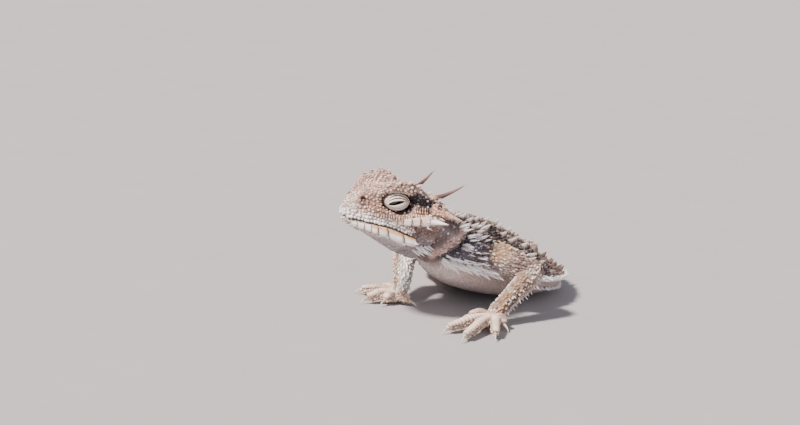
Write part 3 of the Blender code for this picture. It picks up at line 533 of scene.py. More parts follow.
@dataclass
class Limb:
    """One leg: its three joints as place and radius, its five tips, and how full and long its lengths are."""

    joints: tuple[tuple[tuple[float, float, float], float], ...]
    tips: tuple[tuple[float, float], ...]
    first_part: int
    side: int
    bulge: float
    reach: float
    finger: float = 1.1
    claw: float = 2.0

    def line(self, points: list, radii: list, inset: float) -> tuple[Array, Array, Array]:
        """A smooth path with its radius, ended by a rounded cap at each end, and the way along it."""
        at = np.linspace(0, 1, len(points))
        fine = np.linspace(0, 1, 24)
        path = np.stack([smooth(fine, at, [p[k] for p in points]) for k in range(3)], axis=1)
        radius = smooth(fine, at, radii) - inset
        ahead = unit(np.gradient(path, axis=0))
        ends = [path[:1] - ahead[:1] * radius[0] * 0.6, path[-1:] + ahead[-1:] * radius[-1] * 0.6]
        path = np.concatenate([ends[0], path, ends[1]])
        radius = np.concatenate([[radius[0] * 0.5], radius, [radius[-1] * 0.5]])
        return path, radius, np.concatenate([ahead[:1], ahead, ahead[-1:]])

    def sleeve(self, points: list, radii: list, part: int, inset: float, squeeze: float = 1.0,
               sides: int = 28) -> tuple[Surface, Samples]:
        """A closed tube round a path: circles square to it, squeezed upright and kept above the ground."""
        path, radius, ahead = self.line(points, radii, inset)
        side = unit(np.cross(ahead, (0, 0, 1)) + 1e-6)
        over = np.cross(side, ahead)
        angle = np.arange(sides) * 2 * math.pi / sides
        ring = (np.cos(angle)[None, :, None] * side[:, None]
                + squeeze * np.sin(angle)[None, :, None] * over[:, None])
        rings = path[:, None] + radius[:, None, None] * ring
        rings[..., 2] = np.maximum(rings[..., 2], inset * 0.6)
        along = np.linspace(0, 1, len(path))[:, None]
        return tube(rings), Samples.of(rings, ahead[:, None], along, angle[None] / (2 * math.pi), part)

    def lengths(self, inset: float) -> list[tuple[Surface, Samples]]:
        """The upper and the lower length, fullest at a third of their way."""
        made = []
        for step, bulge in ((0, self.bulge), (1, 1.05)):
            (a, ra), (b, rb) = self.joints[step], self.joints[step + 1]
            a, b = np.array(a), np.array(b)
            shares, scales = (0.0, 0.35, 0.7, 1.0), (1.0, bulge, 0.98, 1.0)
            points = [a + (b - a) * share for share in shares]
            radii = [(ra + (rb - ra) * share) * scale for share, scale in zip(shares, scales)]
            made.append(self.sleeve(points, radii, self.first_part + step, inset))
        return made

    def palm(self) -> tuple[Array, Array, Array]:
        """Wrist, the way ahead of the hand and the way across it, on the ground."""
        wrist = np.array(self.joints[2][0][:2])
        ahead = unit(np.mean(self.tips[1:4], axis=0) - wrist)
        return wrist, ahead, np.array([ahead[1], -ahead[0]])

    def roots(self) -> Array:
        """(5, 2) places on the ground where the digits leave the palm."""
        wrist, ahead, across = self.palm()
        spread = unit(np.array(self.tips) - wrist) @ across
        return (wrist + ahead * self.reach * (0.9 - 0.5 * np.abs(spread))[:, None]
                + across * spread[:, None] * 1.6)

    def digit_line(self, i: int) -> tuple[Array, list[float]]:
        """Path and radii of a digit from its root to where its claw begins.

        The path rises over the first joint and comes down to the ground at the pad.
        """
        root, tip = self.roots()[i], np.array(self.tips[i])
        reach = np.linalg.norm(tip - root)
        pad = 1 - self.claw / reach
        shares = np.array([0.0, 0.22, 0.45, 0.75, 1.0]) * pad
        heights = np.array([1.35, 1.72, 1.75, 1.35, 1.12]) * self.finger
        radii = [value * self.finger for value in (1.1, 1.0, 1.08, 1.0, 0.82)]
        flat_line = root + (tip - root) * shares[:, None]
        return np.concatenate([flat_line, heights[:, None]], axis=1), radii

    def end(self, inset: float) -> list[tuple[Surface, Samples]]:
        """The palm and its five digits."""
        wrist, ahead, _ = self.palm()
        part = self.first_part + 2
        line = [(*(wrist + ahead * self.reach * share), z) for share, z in zip((0.0, 0.5, 1.0), (2.3, 1.5, 1.15))]
        made = [self.sleeve(line, [1.6, 2.1, 1.9], part, inset, 0.75)]
        for i in range(5):
            points, radii = self.digit_line(i)
            made.append(self.sleeve(list(points), radii, part, inset * 0.7, 1.0, 18))
        return made

    def claws(self) -> list[tuple[Array, Array]]:
        """Root and tip of each claw."""
        found = []
        for i in range(5):
            points, _ = self.digit_line(i)
            tip = np.array([*self.tips[i], 0.2])
            found.append((points[-1] + unit(tip - points[-1]) * 0.1, tip))
        return found


def limbs() -> list[Limb]:
    """The four legs."""
    rows = (
        ((((5.5, 1.5, 13.5), 4.1), ((17.3, 7.0, 10.35), 2.35), ((14.9, -3.6, 2.7), 2.0)),
         ((8.2, -6.4), (11.2, -18.6), (17.0, -20.4), (21.2, -14.2), (19.9, -6.6)), Part.UPPER_LEFT, 1, 1.0, 3.2),
        ((((-5.5, 1.5, 13.2), 4.4), ((-12.4, 1.6, 9.4), 2.6), ((-7.6, -5.8, 2.7), 1.9)),
         ((-2.8, -6.6), (-8.3, -12.6), (-12.4, -14.2), (-18.0, -8.4), (-15.6, -2.6)), Part.UPPER_RIGHT, -1, 1.0, 3.2),
        ((((-11.6, 38.4, 4.2), 3.8), ((-2.8, 41.2, 4.6), 2.6), ((-11.0, 47.6, 2.3), 1.8)),
         ((-6.6, 44.2), (-3.0, 44.9), (-0.4, 46.8), (-1.4, 50.6), (-5.6, 53.9)), Part.THIGH_LEFT, 1, 1.08, 5.6),
        ((((-14.6, 36.2, 4.2), 3.8), ((-25.6, 31.4, 5.0), 2.7), ((-27.4, 41.0, 2.3), 1.8)),
         ((-33.2, 38.8), (-37.5, 38.7), (-40.9, 42.4), (-40.5, 48.0), (-33.1, 51.8)), Part.THIGH_RIGHT, -1, 1.08, 5.6),
    )
    return [Limb(*row) for row in rows]


# Skin


def read_mesh(mesh: bpy.types.Mesh) -> Surface:
    """The points of a Blender mesh and its faces in blocks of one size."""
    points = np.empty(len(mesh.vertices) * 3, np.float32)
    mesh.vertices.foreach_get("co", points)
    loops, sizes, starts = (np.empty(count, np.int32) for count in (len(mesh.loops), *[len(mesh.polygons)] * 2))
    mesh.loops.foreach_get("vertex_index", loops)
    mesh.polygons.foreach_get("loop_total", sizes)
    mesh.polygons.foreach_get("loop_start", starts)
    faces = [loops[starts[sizes == size][:, None] + np.arange(size)] for size in np.unique(sizes)]
    return Surface(points.reshape(-1, 3).astype(float), faces)


def triangles_of(surface: Surface) -> Array:
    """Every face as triangles that fan from its first corner."""
    return np.concatenate([
        np.stack([block[:, 0], block[:, i], block[:, i + 1]], axis=1)
        for block in surface.faces for i in range(1, block.shape[1] - 1)
    ])


def normals_of(surface: Surface) -> Array:
    """The way out at each point: the sum of the crossed edges of the triangles round it."""
    triangles = triangles_of(surface)
    a, b, c = (surface.points[triangles[:, i]] for i in range(3))
    cross = np.cross(b - a, c - a)
    count = len(surface.points)
    return unit(np.stack([
        sum(np.bincount(triangles[:, i], cross[:, axis], count) for i in range(3)) for axis in range(3)
    ], axis=1))


def relaxed(surface: Surface, rounds: int, amount: Array | float) -> Array:
    """Points moved an amount of the way to the mean of their neighbours, several times over."""
    ends = np.concatenate([
        np.stack([block.ravel(), np.roll(block, -1, axis=1).ravel()], axis=1) for block in surface.faces
    ])
    ends = np.concatenate([ends, ends[:, ::-1]])
    count = len(surface.points)
    share = np.broadcast_to(np.asarray(amount, float), (count,))[:, None]
    degree = np.bincount(ends[:, 0], minlength=count)[:, None]
    points = surface.points
    for _ in range(rounds):
        mean = np.stack([np.bincount(ends[:, 0], points[ends[:, 1], k], count) for k in range(3)], axis=1) / degree
        points = points + (mean - points) * share
    return points


@dataclass
class EyePlace:
    """Where the eyes sit in the head's frame and how wide they open."""

    x: float = 9.0
    y: float = 4.2
    z: float = -1.3
    radius: float = 1.85
    lid_x: float = 8.4
    lid_z: float = -1.55
    lid_length: float = 2.9
    lid_height: float = 2.0
    lid_base: float = 0.5
    lid_rise: float = 1.8
    slit_length: float = 3.4
    slit_height: float = 0.78
    tilt: float = math.radians(18)


@dataclass
class Skin:
    """One closed skin over all the flesh: lofts fused by a voxel grid, eased, then carved by height fields."""

    head: Head
    trunk: Trunk
    legs: list[Limb]
    eye: EyePlace
    inset: float = 0.28
    voxel: float = 0.4
    nostril_x: float = 15.0
    nostril_row: float = 1.38
    ear_x: float = 0.7
    ear_drop: float = 1.6

    def fused(self) -> tuple[Surface, Samples]:
        """The union of all lofts on a voxel grid, finer over the head, and the samples of the lofts."""
        forms = [self.head.form(self.inset), self.trunk.form(self.inset)]
        for leg in self.legs:
            forms += leg.lengths(self.inset) + leg.end(self.inset)
        samples = Samples.join([form[1] for form in forms])
        raw = bpy.data.objects.new("raw", Surface.join([form[0] for form in forms]).mesh("raw", 1.0))
        bpy.context.scene.collection.objects.link(raw)
        grid = raw.modifiers.new("grid", "REMESH")
        grid.mode, grid.voxel_size = "VOXEL", self.voxel
        bpy.context.view_layer.update()
        solid = bpy.data.meshes.new_from_object(raw.evaluated_get(bpy.context.evaluated_depsgraph_get()))
        bpy.data.objects.remove(raw, do_unlink=True)
        surface = read_mesh(solid)
        surface.points = relaxed(surface, 5, 0.5)
        info = samples.pick(nearest(surface.points, samples.points))
        return self.refined(surface, info.part == Part.HEAD), samples

    @staticmethod
    def refined(surface: Surface, chosen: Array) -> Surface:
        """Splits each face whose corners are all chosen into four, and eases what it made."""
        quads = surface.faces[-1]
        inner = chosen[quads].all(axis=1)
        split, kept = quads[inner], quads[~inner]
        ends = np.sort(np.stack([split, np.roll(split, -1, axis=1)], axis=-1).reshape(-1, 2), axis=1)
        edges, index = np.unique(ends, axis=0, return_inverse=True)
        count = len(surface.points)
        middles = index.reshape(-1, 4) + count
        centres = np.arange(len(split)) + count + len(edges)
        points = np.concatenate([
            surface.points, surface.points[edges].mean(axis=1), surface.points[split].mean(axis=1)])
        quarters = np.concatenate([
            np.stack([split[:, i], middles[:, i], centres, middles[:, i - 1]], axis=1) for i in range(4)])
        lookup = {(int(a), int(b)): n + count for n, (a, b) in enumerate(edges)}
        border = [
            [p for i in range(4) for p in (face[i], lookup.get((min(face[i], face[(i + 1) % 4]),
                                                                max(face[i], face[(i + 1) % 4])))) if p is not None]
            for face in kept[np.isin(kept, np.unique(split)).sum(axis=1) > 1].tolist()
        ]
        rest = kept[np.isin(kept, np.unique(split)).sum(axis=1) <= 1]
        blocks = [np.array([face for face in border if len(face) == size]) for size in range(4, 9)]
        faces = [*surface.faces[:-1], rest, quarters, *[block for block in blocks if len(block)]]
        made = Surface(points, faces)
        fresh = np.zeros(len(points), bool)
        fresh[np.unique(quarters)] = True
        made.points = relaxed(made, 2, np.where(fresh, 0.5, 0.0))
        return made

    def carve_head(self, q: Array) -> tuple[Array, Array]:
        """Heights for the head's points: rolled lips with the mouth's groove between, nostrils, ears and folds.

        Each is a bell over the distance from its line or point. The orbit is a bowl, its depth an S over the
        distance from the eye, pushed straight inwards.

        Args:
            q: points in the head's frame.

        Returns:
            Heights along the way out, and depths along the way across.
        """
        x, y, z = q.T
        side = np.where(y > 0, 1.0, -1.0)
        above = z - self.head.mouth(x)
        jaw = ramp(x, 3.9, 5.0) * ramp(np.abs(y), 0.0, 0.6)
        front = ramp(x, 15.5, 16.6)
        high = -0.5 * bump(above, 0, 0.2) * np.maximum(jaw, front)
        high += (0.14 * bump(above, 0.75, 0.4) + 0.18 * bump(above, -0.85, 0.5)) * np.maximum(jaw, front)
        for place, depth, width in ((self.nostril(), 0.95, 0.42), (self.ear(), 0.55, 1.15)):
            away = np.linalg.norm(np.stack([x, np.abs(y), z], axis=1) - place, axis=1)
            high -= depth * bump(away, 0, width)
            high += depth * 0.3 * bump(away, width * 1.9, width * 0.6)
        rear = ramp(z, -4.6, -6.0) * ramp(x, 5.0, 3.5)
        high -= rear * (0.4 * bump(x + 0.15 * z, 2.1, 0.4) + 0.3 * bump(x + 0.2 * z, -0.6, 0.4))
        high += rear * 0.25 * bump(x + 0.15 * z, 3.0, 0.5)
        high += 0.07 * wobble(q, 1.6, 3) + 0.05 * wobble(q, 0.9, 4)
        away = np.hypot((x - self.eye.lid_x) / self.eye.lid_length, (z - self.eye.lid_z) / self.eye.lid_height)
        bowl = 1.75 * ramp(away, 1.22, 0.92) + 0.35 * bump(away, 1.1, 0.1) * ramp(z, 0.5, -2.0)
        bowl -= 0.3 * bump(away, 1.42, 0.16)
        return high, bowl * ramp(np.abs(y), 1.5, 3.0) * side

    def nostril(self) -> Array:
        """Place of the left nostril in the head's frame."""
        return self.head.side(self.nostril_x, self.nostril_row, 1, -self.inset)

    def ear(self) -> Array:
        """Place of the left ear in the head's frame."""
        return self.head.side(self.ear_x, 3, 1, -self.inset) - (0, 0, self.ear_drop)

    def carve_trunk(self, points: Array, info: Samples) -> Array:
        """Heights for the trunk: the gular fold and its furrow, small creases, ribs and a low ridge of the back.

        Args:
            points: points in the animal's frame.
            info: their samples.

        Returns:
            Heights along the way out.
        """
        s, angle = info.along * 15, info.around * 2 * math.pi
        up = np.sin(angle)
        low = ramp(up, 0.75, 0.2)
        behind = self.behind_fold(s, up, points)
        high = low * (0.55 * bump(behind, 0, 0.16) - 0.7 * bump(behind, 0.4, 0.2))
        high += low * (0.3 * bump(behind, 0.85, 0.22) - 0.35 * bump(behind, 1.25, 0.2) + 0.2 * bump(behind, 1.6, 0.2))
        high += 0.25 * bump(angle, math.pi / 2, 0.1) * ramp(s, 2.0, 4.0)
        flank = bump(up, -0.15, 0.5) * ramp(s, 3.0, 4.5) * ramp(s, 10.5, 9.0)
        high += flank * (0.22 * wobble(points * (1, 1, 0.5), 4.5, 6) + 0.1 * wobble(points, 1.8, 7))
        return high + 0.12 * ramp(up, 0.0, 0.4) * wobble(points, 2.6, 8)

    @staticmethod
    def pale_edge(s: Array) -> Array:
        """Sine of the angle where the pale underside begins at station s."""
        return np.interp(s, [0.7, 1.5, 2.1, 2.7, 3.2, 4.0, 6.0], [-0.65, -0.5, -0.38, -0.28, -0.16, -0.05, 0.02])

    @staticmethod
    def behind_fold(s: Array, up: Array, points: Array) -> Array:
        """How many stations a place lies behind the gular fold, which slants forward towards the throat."""
        fold = np.maximum(1.0 + 1.05 * np.arcsin(np.clip(up, -1, 1)), 0.2)
        return s - fold + 0.05 * wobble(points, 5.0, 5)

    def build(self) -> tuple[Surface, Samples, Array]:
        """The carved skin, with the sample and the way out of each of its points."""
        surface, samples = self.fused()
        out = normals_of(surface)
        info = samples.pick(nearest(surface.points, samples.points))
        on_head, on_trunk = info.part == Part.HEAD, info.part == Part.TRUNK
        q = self.head.inside(surface.points)
        high, bowl = self.carve_head(q)
        shift = out * np.where(on_head, high, 0.0)[:, None]
        shift -= self.head.axes[1] * np.where(on_head, bowl, 0.0)[:, None]
        shift += out * np.where(on_trunk, self.carve_trunk(surface.points, info), 0.0)[:, None]
        limb = ~(on_head | on_trunk)
        shift += out * np.where(limb, 0.1 * wobble(surface.points, 1.5, 9), 0.0)[:, None]
        surface.points = surface.points + shift
        surface.points = relaxed(surface, 2, 0.25)
        surface.points[:, 2] = np.maximum(surface.points[:, 2], 0.12)
        return surface, info, normals_of(surface)


@dataclass
class Markings:
    """The animal's colours as one function of place, shared by skin, scales and spines, with painted shade and shadow
    where noted.
    """

    head: Head
    skin: Skin

    def of(self, points: Array, info: Samples, out: Array) -> Array:
        """Linear colours for points.

        Args:
            points: (n, 3) in the animal's frame.
            info: their samples.
            out: their ways out.

        Returns:
            (n, 3) colours.
        """
        colours = flat(Tone.SAND, len(points))
        on_head, on_trunk = info.part == Part.HEAD, info.part == Part.TRUNK
        limb = ~(on_head | on_trunk)
        for chosen, paint in ((on_head, self.on_head), (on_trunk, self.on_trunk), (limb, self.on_limb)):
            if chosen.any():
                colours[chosen] = paint(points[chosen], info.pick(np.flatnonzero(chosen)), out[chosen])
        return colours

    def on_head(self, points: Array, info: Samples, out: Array) -> Array:
        """Pinkish crown, brown lore and nostril, pale lips, ochre along the jaw, a dark band behind the brow that is
        partly blotch and partly painted shadow, and painted shade in the nostril, round the lids, in the mouth's
        groove, down the throat and round the ear.
        """
        q = self.head.inside(points)
        x, y, z = q.T
        across, above = np.abs(y), z - self.head.mouth(x)
        c = blend(flat(Tone.PINK, len(q)), Tone.SAND, 0.35 + 0.3 * wobble(q, 4.0, 21))
        c = blend(c, Tone.ROSE, 0.35 * ramp(wobble(q, 1.3, 22), 0.1, 0.8))
        c = blend(c, Tone.CREAM, 0.45 * ramp(wobble(q, 0.9, 23), 0.3, 0.9))
        c = blend(c, Tone.CREAM, 0.7 * ramp(x, 13.6, 16.6))
        away = np.linalg.norm(np.stack([x, across, z], axis=1) - self.skin.nostril(), axis=1)
        c = blend(c, Tone.ROSE, 0.6 * ramp(away, 2.4, 1.0))
        c = blend(c, Tone.BROWN, 0.8 * ramp(away, 1.0, 0.6))
        # Painted shade: a charcoal core inside the nostril's hole.
        c = blend(c, Tone.CHARCOAL, 0.95 * ramp(away, 0.6, 0.4))
        lore = bump(x, 12.0, 1.8) * bump(z, -3.6, 1.3) * ramp(across, 2.0, 3.5)
        c = blend(c, Tone.OCHRE, 0.6 * lore * ramp(wobble(q, 1.6, 24), -0.4, 0.5))
        c = blend(c, Tone.WHITE, 0.8 * ramp(above, 2.2, 1.2) * ramp(above, -0.1, 0.1) * ramp(x, 4.0, 6.0))
        below = ramp(above, 0.1, -0.1)
        c = blend(c, Tone.CREAM, below)
        c = blend(c, Tone.BELLY, below * 0.9 * ramp(above, -1.9, -2.5))
        # Painted shade: lilac grey down the throat, which faces the ground.
        c = blend(c, Tone.LILAC, below * 0.85 * ramp(above, -2.0, -3.4))
        cheek = bump(x, 4.2, 3.4) * bump(z, -3.9, 1.5) * ramp(across, 4.0, 5.5)
        c = blend(c, Tone.PEACH, 0.4 * cheek)
        c = blend(c, Tone.CREAM, 0.4 * cheek * ramp(np.sin(x * 7.0), -0.2, 0.8))
        # Round the ear: a brownish grey darkened to stand also for painted shade under the shelf of plates; lilac
        # towards the throat and brown along upright wrinkles are painted shade; brown spots are its own.
        ear = ramp(x, 5.6, 4.2) * ramp(z, -5.0, -6.0)
        c = blend(c, Tone.EAR, 0.9 * ear)
        c = blend(c, Tone.LILAC, ear * 0.6 * ramp(z, -7.0, -9.0))
        c = blend(c, Tone.BROWN, 0.4 * ear * ramp(np.sin(x * 8.0 + z), 0.1, 0.8) * ramp(z, -8.8, -7.2))
        c = blend(c, Tone.BROWN, 0.6 * ear * ramp(wobble(q, 1.5, 26), 0.35, 0.8))
        top = 0.7 + 0.32 * (x - 4.5)
        c = blend(c, Tone.CREAM, 0.65 * ramp(x, 4.8, 3.2) * ramp(z, top, top + 0.4))
        # A dark band behind the brow: partly the dark blotch of the neck, partly painted shadow cast by the brow and
        # the horns.
        foot = -1.5 - 0.24 * np.clip(4.5 - x, 0, 5)
        band = ramp(x, 6.8, 5.4) * ramp(z, top + 0.3, top - 0.15) * ramp(z - foot, -0.3, 0.3) * ramp(across, 3.6, 4.8)
        c = blend(c, Tone.NIGHT, 0.95 * band)
        # Painted shade round the lids: a charcoal crescent at the orbit's lower rear and a thinner ring in the orbit's
        # wall.
        lid = self.skin.eye
        rim = np.hypot((x - lid.lid_x) / lid.lid_length, (z - lid.lid_z) / lid.lid_height)
        beside = ramp(across, 2.5, 4.0)
        low_rear = ramp(-0.75 * (x - lid.lid_x) - 0.65 * (z - lid.lid_z), 0.2, 1.5)
        c = blend(c, Tone.CHARCOAL, 0.95 * beside * low_rear * ramp(rim, 1.28, 1.14))
        c = blend(c, Tone.CHARCOAL, 0.75 * beside * ramp(rim, 1.16, 1.06))
        c = blend(c, Tone.BROWN, 0.5 * bump(x, 14.2, 0.9) * bump(z, 0.4, 1.2) * ramp(wobble(q, 1.2, 27), 0.0, 0.5))
        # Painted shade along the mouth's groove.
        return blend(c, Tone.CHARCOAL, 0.85 * bump(above, 0, 0.16) * ramp(x, 4.2, 5.2))

    def on_trunk(self, points: Array, info: Samples, out: Array) -> Array:
        """Sand and grey above with dark wavy blotches in two rows, a dark patch each side of the nape that is partly
        painted shadow, painted shadow and shade on the neck and behind the gular fold, painted shade low on the flanks,
        pale below.
        """
        s, angle = info.along * 15, info.around * 2 * math.pi
        up = np.sin(angle)
        c = blend(flat(Tone.GREY, len(points)), Tone.SLATE, 0.45 + 0.5 * wobble(points, 5.0, 31))
        c = blend(c, Tone.BROWN, 0.45 * ramp(wobble(points, 1.9, 32), 0.0, 0.8))
        c = blend(c, Tone.SLATE, 0.6 * ramp(s, 4.5, 7.0) * ramp(up, 0.1, 0.4))
        c = blend(c, Tone.CREAM, 0.5 * ramp(wobble(points, 1.2, 33), 0.3, 0.9))
        away = np.abs(angle - math.pi / 2)
        wave = 0.16 * wobble(points, 4.0, 34)
        for station in (3.1, 4.5, 5.9, 7.3, 8.7, 10.1, 11.3, 12.4, 13.4):
            blotch = bump(s - 0.35 * away + wave, station, 0.3) * bump(away + wave, 0.55, 0.42)
            c = blend(c, Tone.CHARCOAL, 0.9 * ramp(blotch, 0.3, 0.6))
            c = blend(c, Tone.CREAM, 0.55 * bump(s - 0.35 * away + wave, station + 0.5, 0.14) * ramp(away, 1.3, 0.5))
        c = blend(c, Tone.CREAM, 0.5 * bump(away, 0, 0.06) * ramp(s, 2, 3))
        # A dark patch each side of the nape, partly the real blotch and partly painted shadow cast by the head and
        # horns.
        nape = ramp(s, 3.3, 2.6) * bump(away, np.interp(s, [0.3, 2.8], [0.62, 0.38]), 0.26)
        c = blend(c, Tone.NIGHT, 0.95 * ramp(nape, 0.3, 0.6))
        c = blend(c, Tone.CREAM, 0.8 * ramp(s, 3.6, 2.8) * bump(away, 0.08, 0.16))
        # Low on the neck's sides: brownish grey and lilac, partly painted shadow cast by the head.
        side = ramp(up, 0.42, 0.12) * ramp(s, 3.4, 2.2)
        c = blend(c, Tone.EAR, 0.85 * side)
        c = blend(c, Tone.LILAC, 0.45 * side * ramp(wobble(points, 3.0, 35), -0.2, 0.7))
        # Behind the gular fold: dusky blue grey as painted shadow, and charcoal along its furrow as painted shade.
        behind = self.skin.behind_fold(s, up, points)
        fold = ramp(up, 0.75, 0.2) * ramp(up, -0.95, -0.75)
        c = blend(c, Tone.DUSK, 0.85 * fold * ramp(behind, 0.1, 0.3) * ramp(behind, 1.5, 0.8))
        c = blend(c, Tone.CHARCOAL, 0.7 * fold * bump(behind, 0.38, 0.14))
        c = blend(c, Tone.PINK, 0.95 * fold * bump(behind, -0.02, 0.16))
        edge = self.skin.pale_edge(s)
        below = ramp(up, edge + 0.05, edge - 0.05) * ramp(s, 0.5, 1.0)
        belly = blend(flat(Tone.CHEST, len(points)), Tone.BELLY, ramp(up, -0.3, -0.95) + 0.25 * ramp(s, 4.0, 7.0))
        # Painted shade in lilac on the flank just under the fringe.
        belly = blend(belly, Tone.LILAC, 0.5 * bump(up, -0.2, 0.3) * ramp(s, 5.0, 7.5))
        belly = blend(belly, Tone.GREY, 0.2 * ramp(wobble(points, 2.4, 36), 0.5, 0.9))
        c = c * (1 - below[:, None]) + belly * below[:, None]
        return blend(c, Tone.WHITE, 0.9 * bump(up, edge + 0.03, 0.07) * ramp(s, 0.8, 1.2) * ramp(s, 10.8, 10.2))

    def soft(self, points: Array, info: Samples) -> Array:
        """From 0 to 1, how soft and bare the skin is: throat, round the ear, and the neck as far as its fold."""
        x, _, z = self.head.inside(points).T
        throat = ramp(z - self.head.mouth(x), -2.0, -2.6)
        ear = ramp(x, 4.4, 3.6) * ramp(z, -4.9, -5.6)
        s, up = info.along * 15, np.sin(info.around * 2 * math.pi)
        neck = ramp(self.skin.behind_fold(s, up, points), 0.1, -0.1) * ramp(up, 0.6, 0.4)
        on_head, on_trunk = info.part == Part.HEAD, info.part == Part.TRUNK
        return np.where(on_head, np.maximum(throat, ear), np.where(on_trunk, neck, 0.0))

    def gaps(self, points: Array, info: Samples) -> Array:
        """How dark the skin is between the scales, as painted shade in the grooves among them: dark above and on the
        legs, near its own tone where soft.
        """
        soft = self.soft(points, info)
        under = np.where(info.part == Part.TRUNK, ramp(np.sin(info.around * 2 * math.pi), 0.1, -0.3), 0.0)
        base = np.where(info.part > Part.TRUNK, 0.5, 0.42)
        return base + 0.42 * np.maximum(soft, under)

    def on_limb(self, points: Array, info: Samples, out: Array) -> Array:
        """Sand with grey and an ochre shield on the upper arm, tan forearms, cream hands and feet, pale below."""
        part, along, up = info.part, info.along, out[:, 2]
        c = blend(flat(Tone.SAND, len(points)), Tone.GREY, 0.35 + 0.4 * wobble(points, 3.6, 41))
        c = blend(c, Tone.CREAM, 0.45 * ramp(wobble(points, 1.1, 42), 0.2, 0.9))
        upper = np.isin(part, (Part.UPPER_LEFT, Part.UPPER_RIGHT))
        c = blend(c, Tone.CREAM, 0.5 * upper * ramp(along, 0.62, 0.45))
        c = blend(c, Tone.OCHRE, 0.7 * upper * ramp(along, 0.62, 0.45) * ramp(up, -0.2, 0.3)
                  * ramp(wobble(points, 1.3, 46), -0.7, 0.1))
        c = blend(c, Tone.GREY, 0.6 * upper * ramp(along, 0.5, 0.68))
        lower = np.isin(part, (Part.LOWER_LEFT, Part.LOWER_RIGHT, Part.SHIN_LEFT, Part.SHIN_RIGHT))
        c = blend(c, Tone.OCHRE, 0.45 * lower * ramp(wobble(points, 2.6, 43), -0.2, 0.6))
        c = blend(c, Tone.CREAM, 0.7 * lower * ramp(along, 0.3, 0.12))
        inner = -out[:, 0] * np.where(np.isin(part, (Part.LOWER_LEFT, Part.SHIN_LEFT)), 1.0, -1.0)
        far = np.isin(part, (Part.LOWER_RIGHT, Part.SHIN_RIGHT))
        c = blend(c, Tone.WHITE, lower * np.where(far, ramp(inner, -0.15, 0.25), 0.4 * ramp(inner, 0.2, 0.8)))
        rear = np.isin(part, (Part.THIGH_LEFT, Part.THIGH_RIGHT, Part.SHIN_LEFT, Part.SHIN_RIGHT))
        c = blend(c, Tone.CHARCOAL, 0.75 * rear * ramp(np.sin(along * 11 + wobble(points, 3.0, 44)), 0.72, 0.95))
        end = np.isin(part, (Part.END_LEFT, Part.END_RIGHT, Part.FOOT_LEFT, Part.FOOT_RIGHT))
        c = blend(c, Tone.TOE, 0.92 * end)
        c = blend(c, Tone.SAND, 0.35 * end * ramp(wobble(points, 1.6, 45), 0.0, 0.8))
        return blend(c, Tone.BELLY, 0.85 * ramp(up, 0.0, -0.5) * ~end)


# Coat


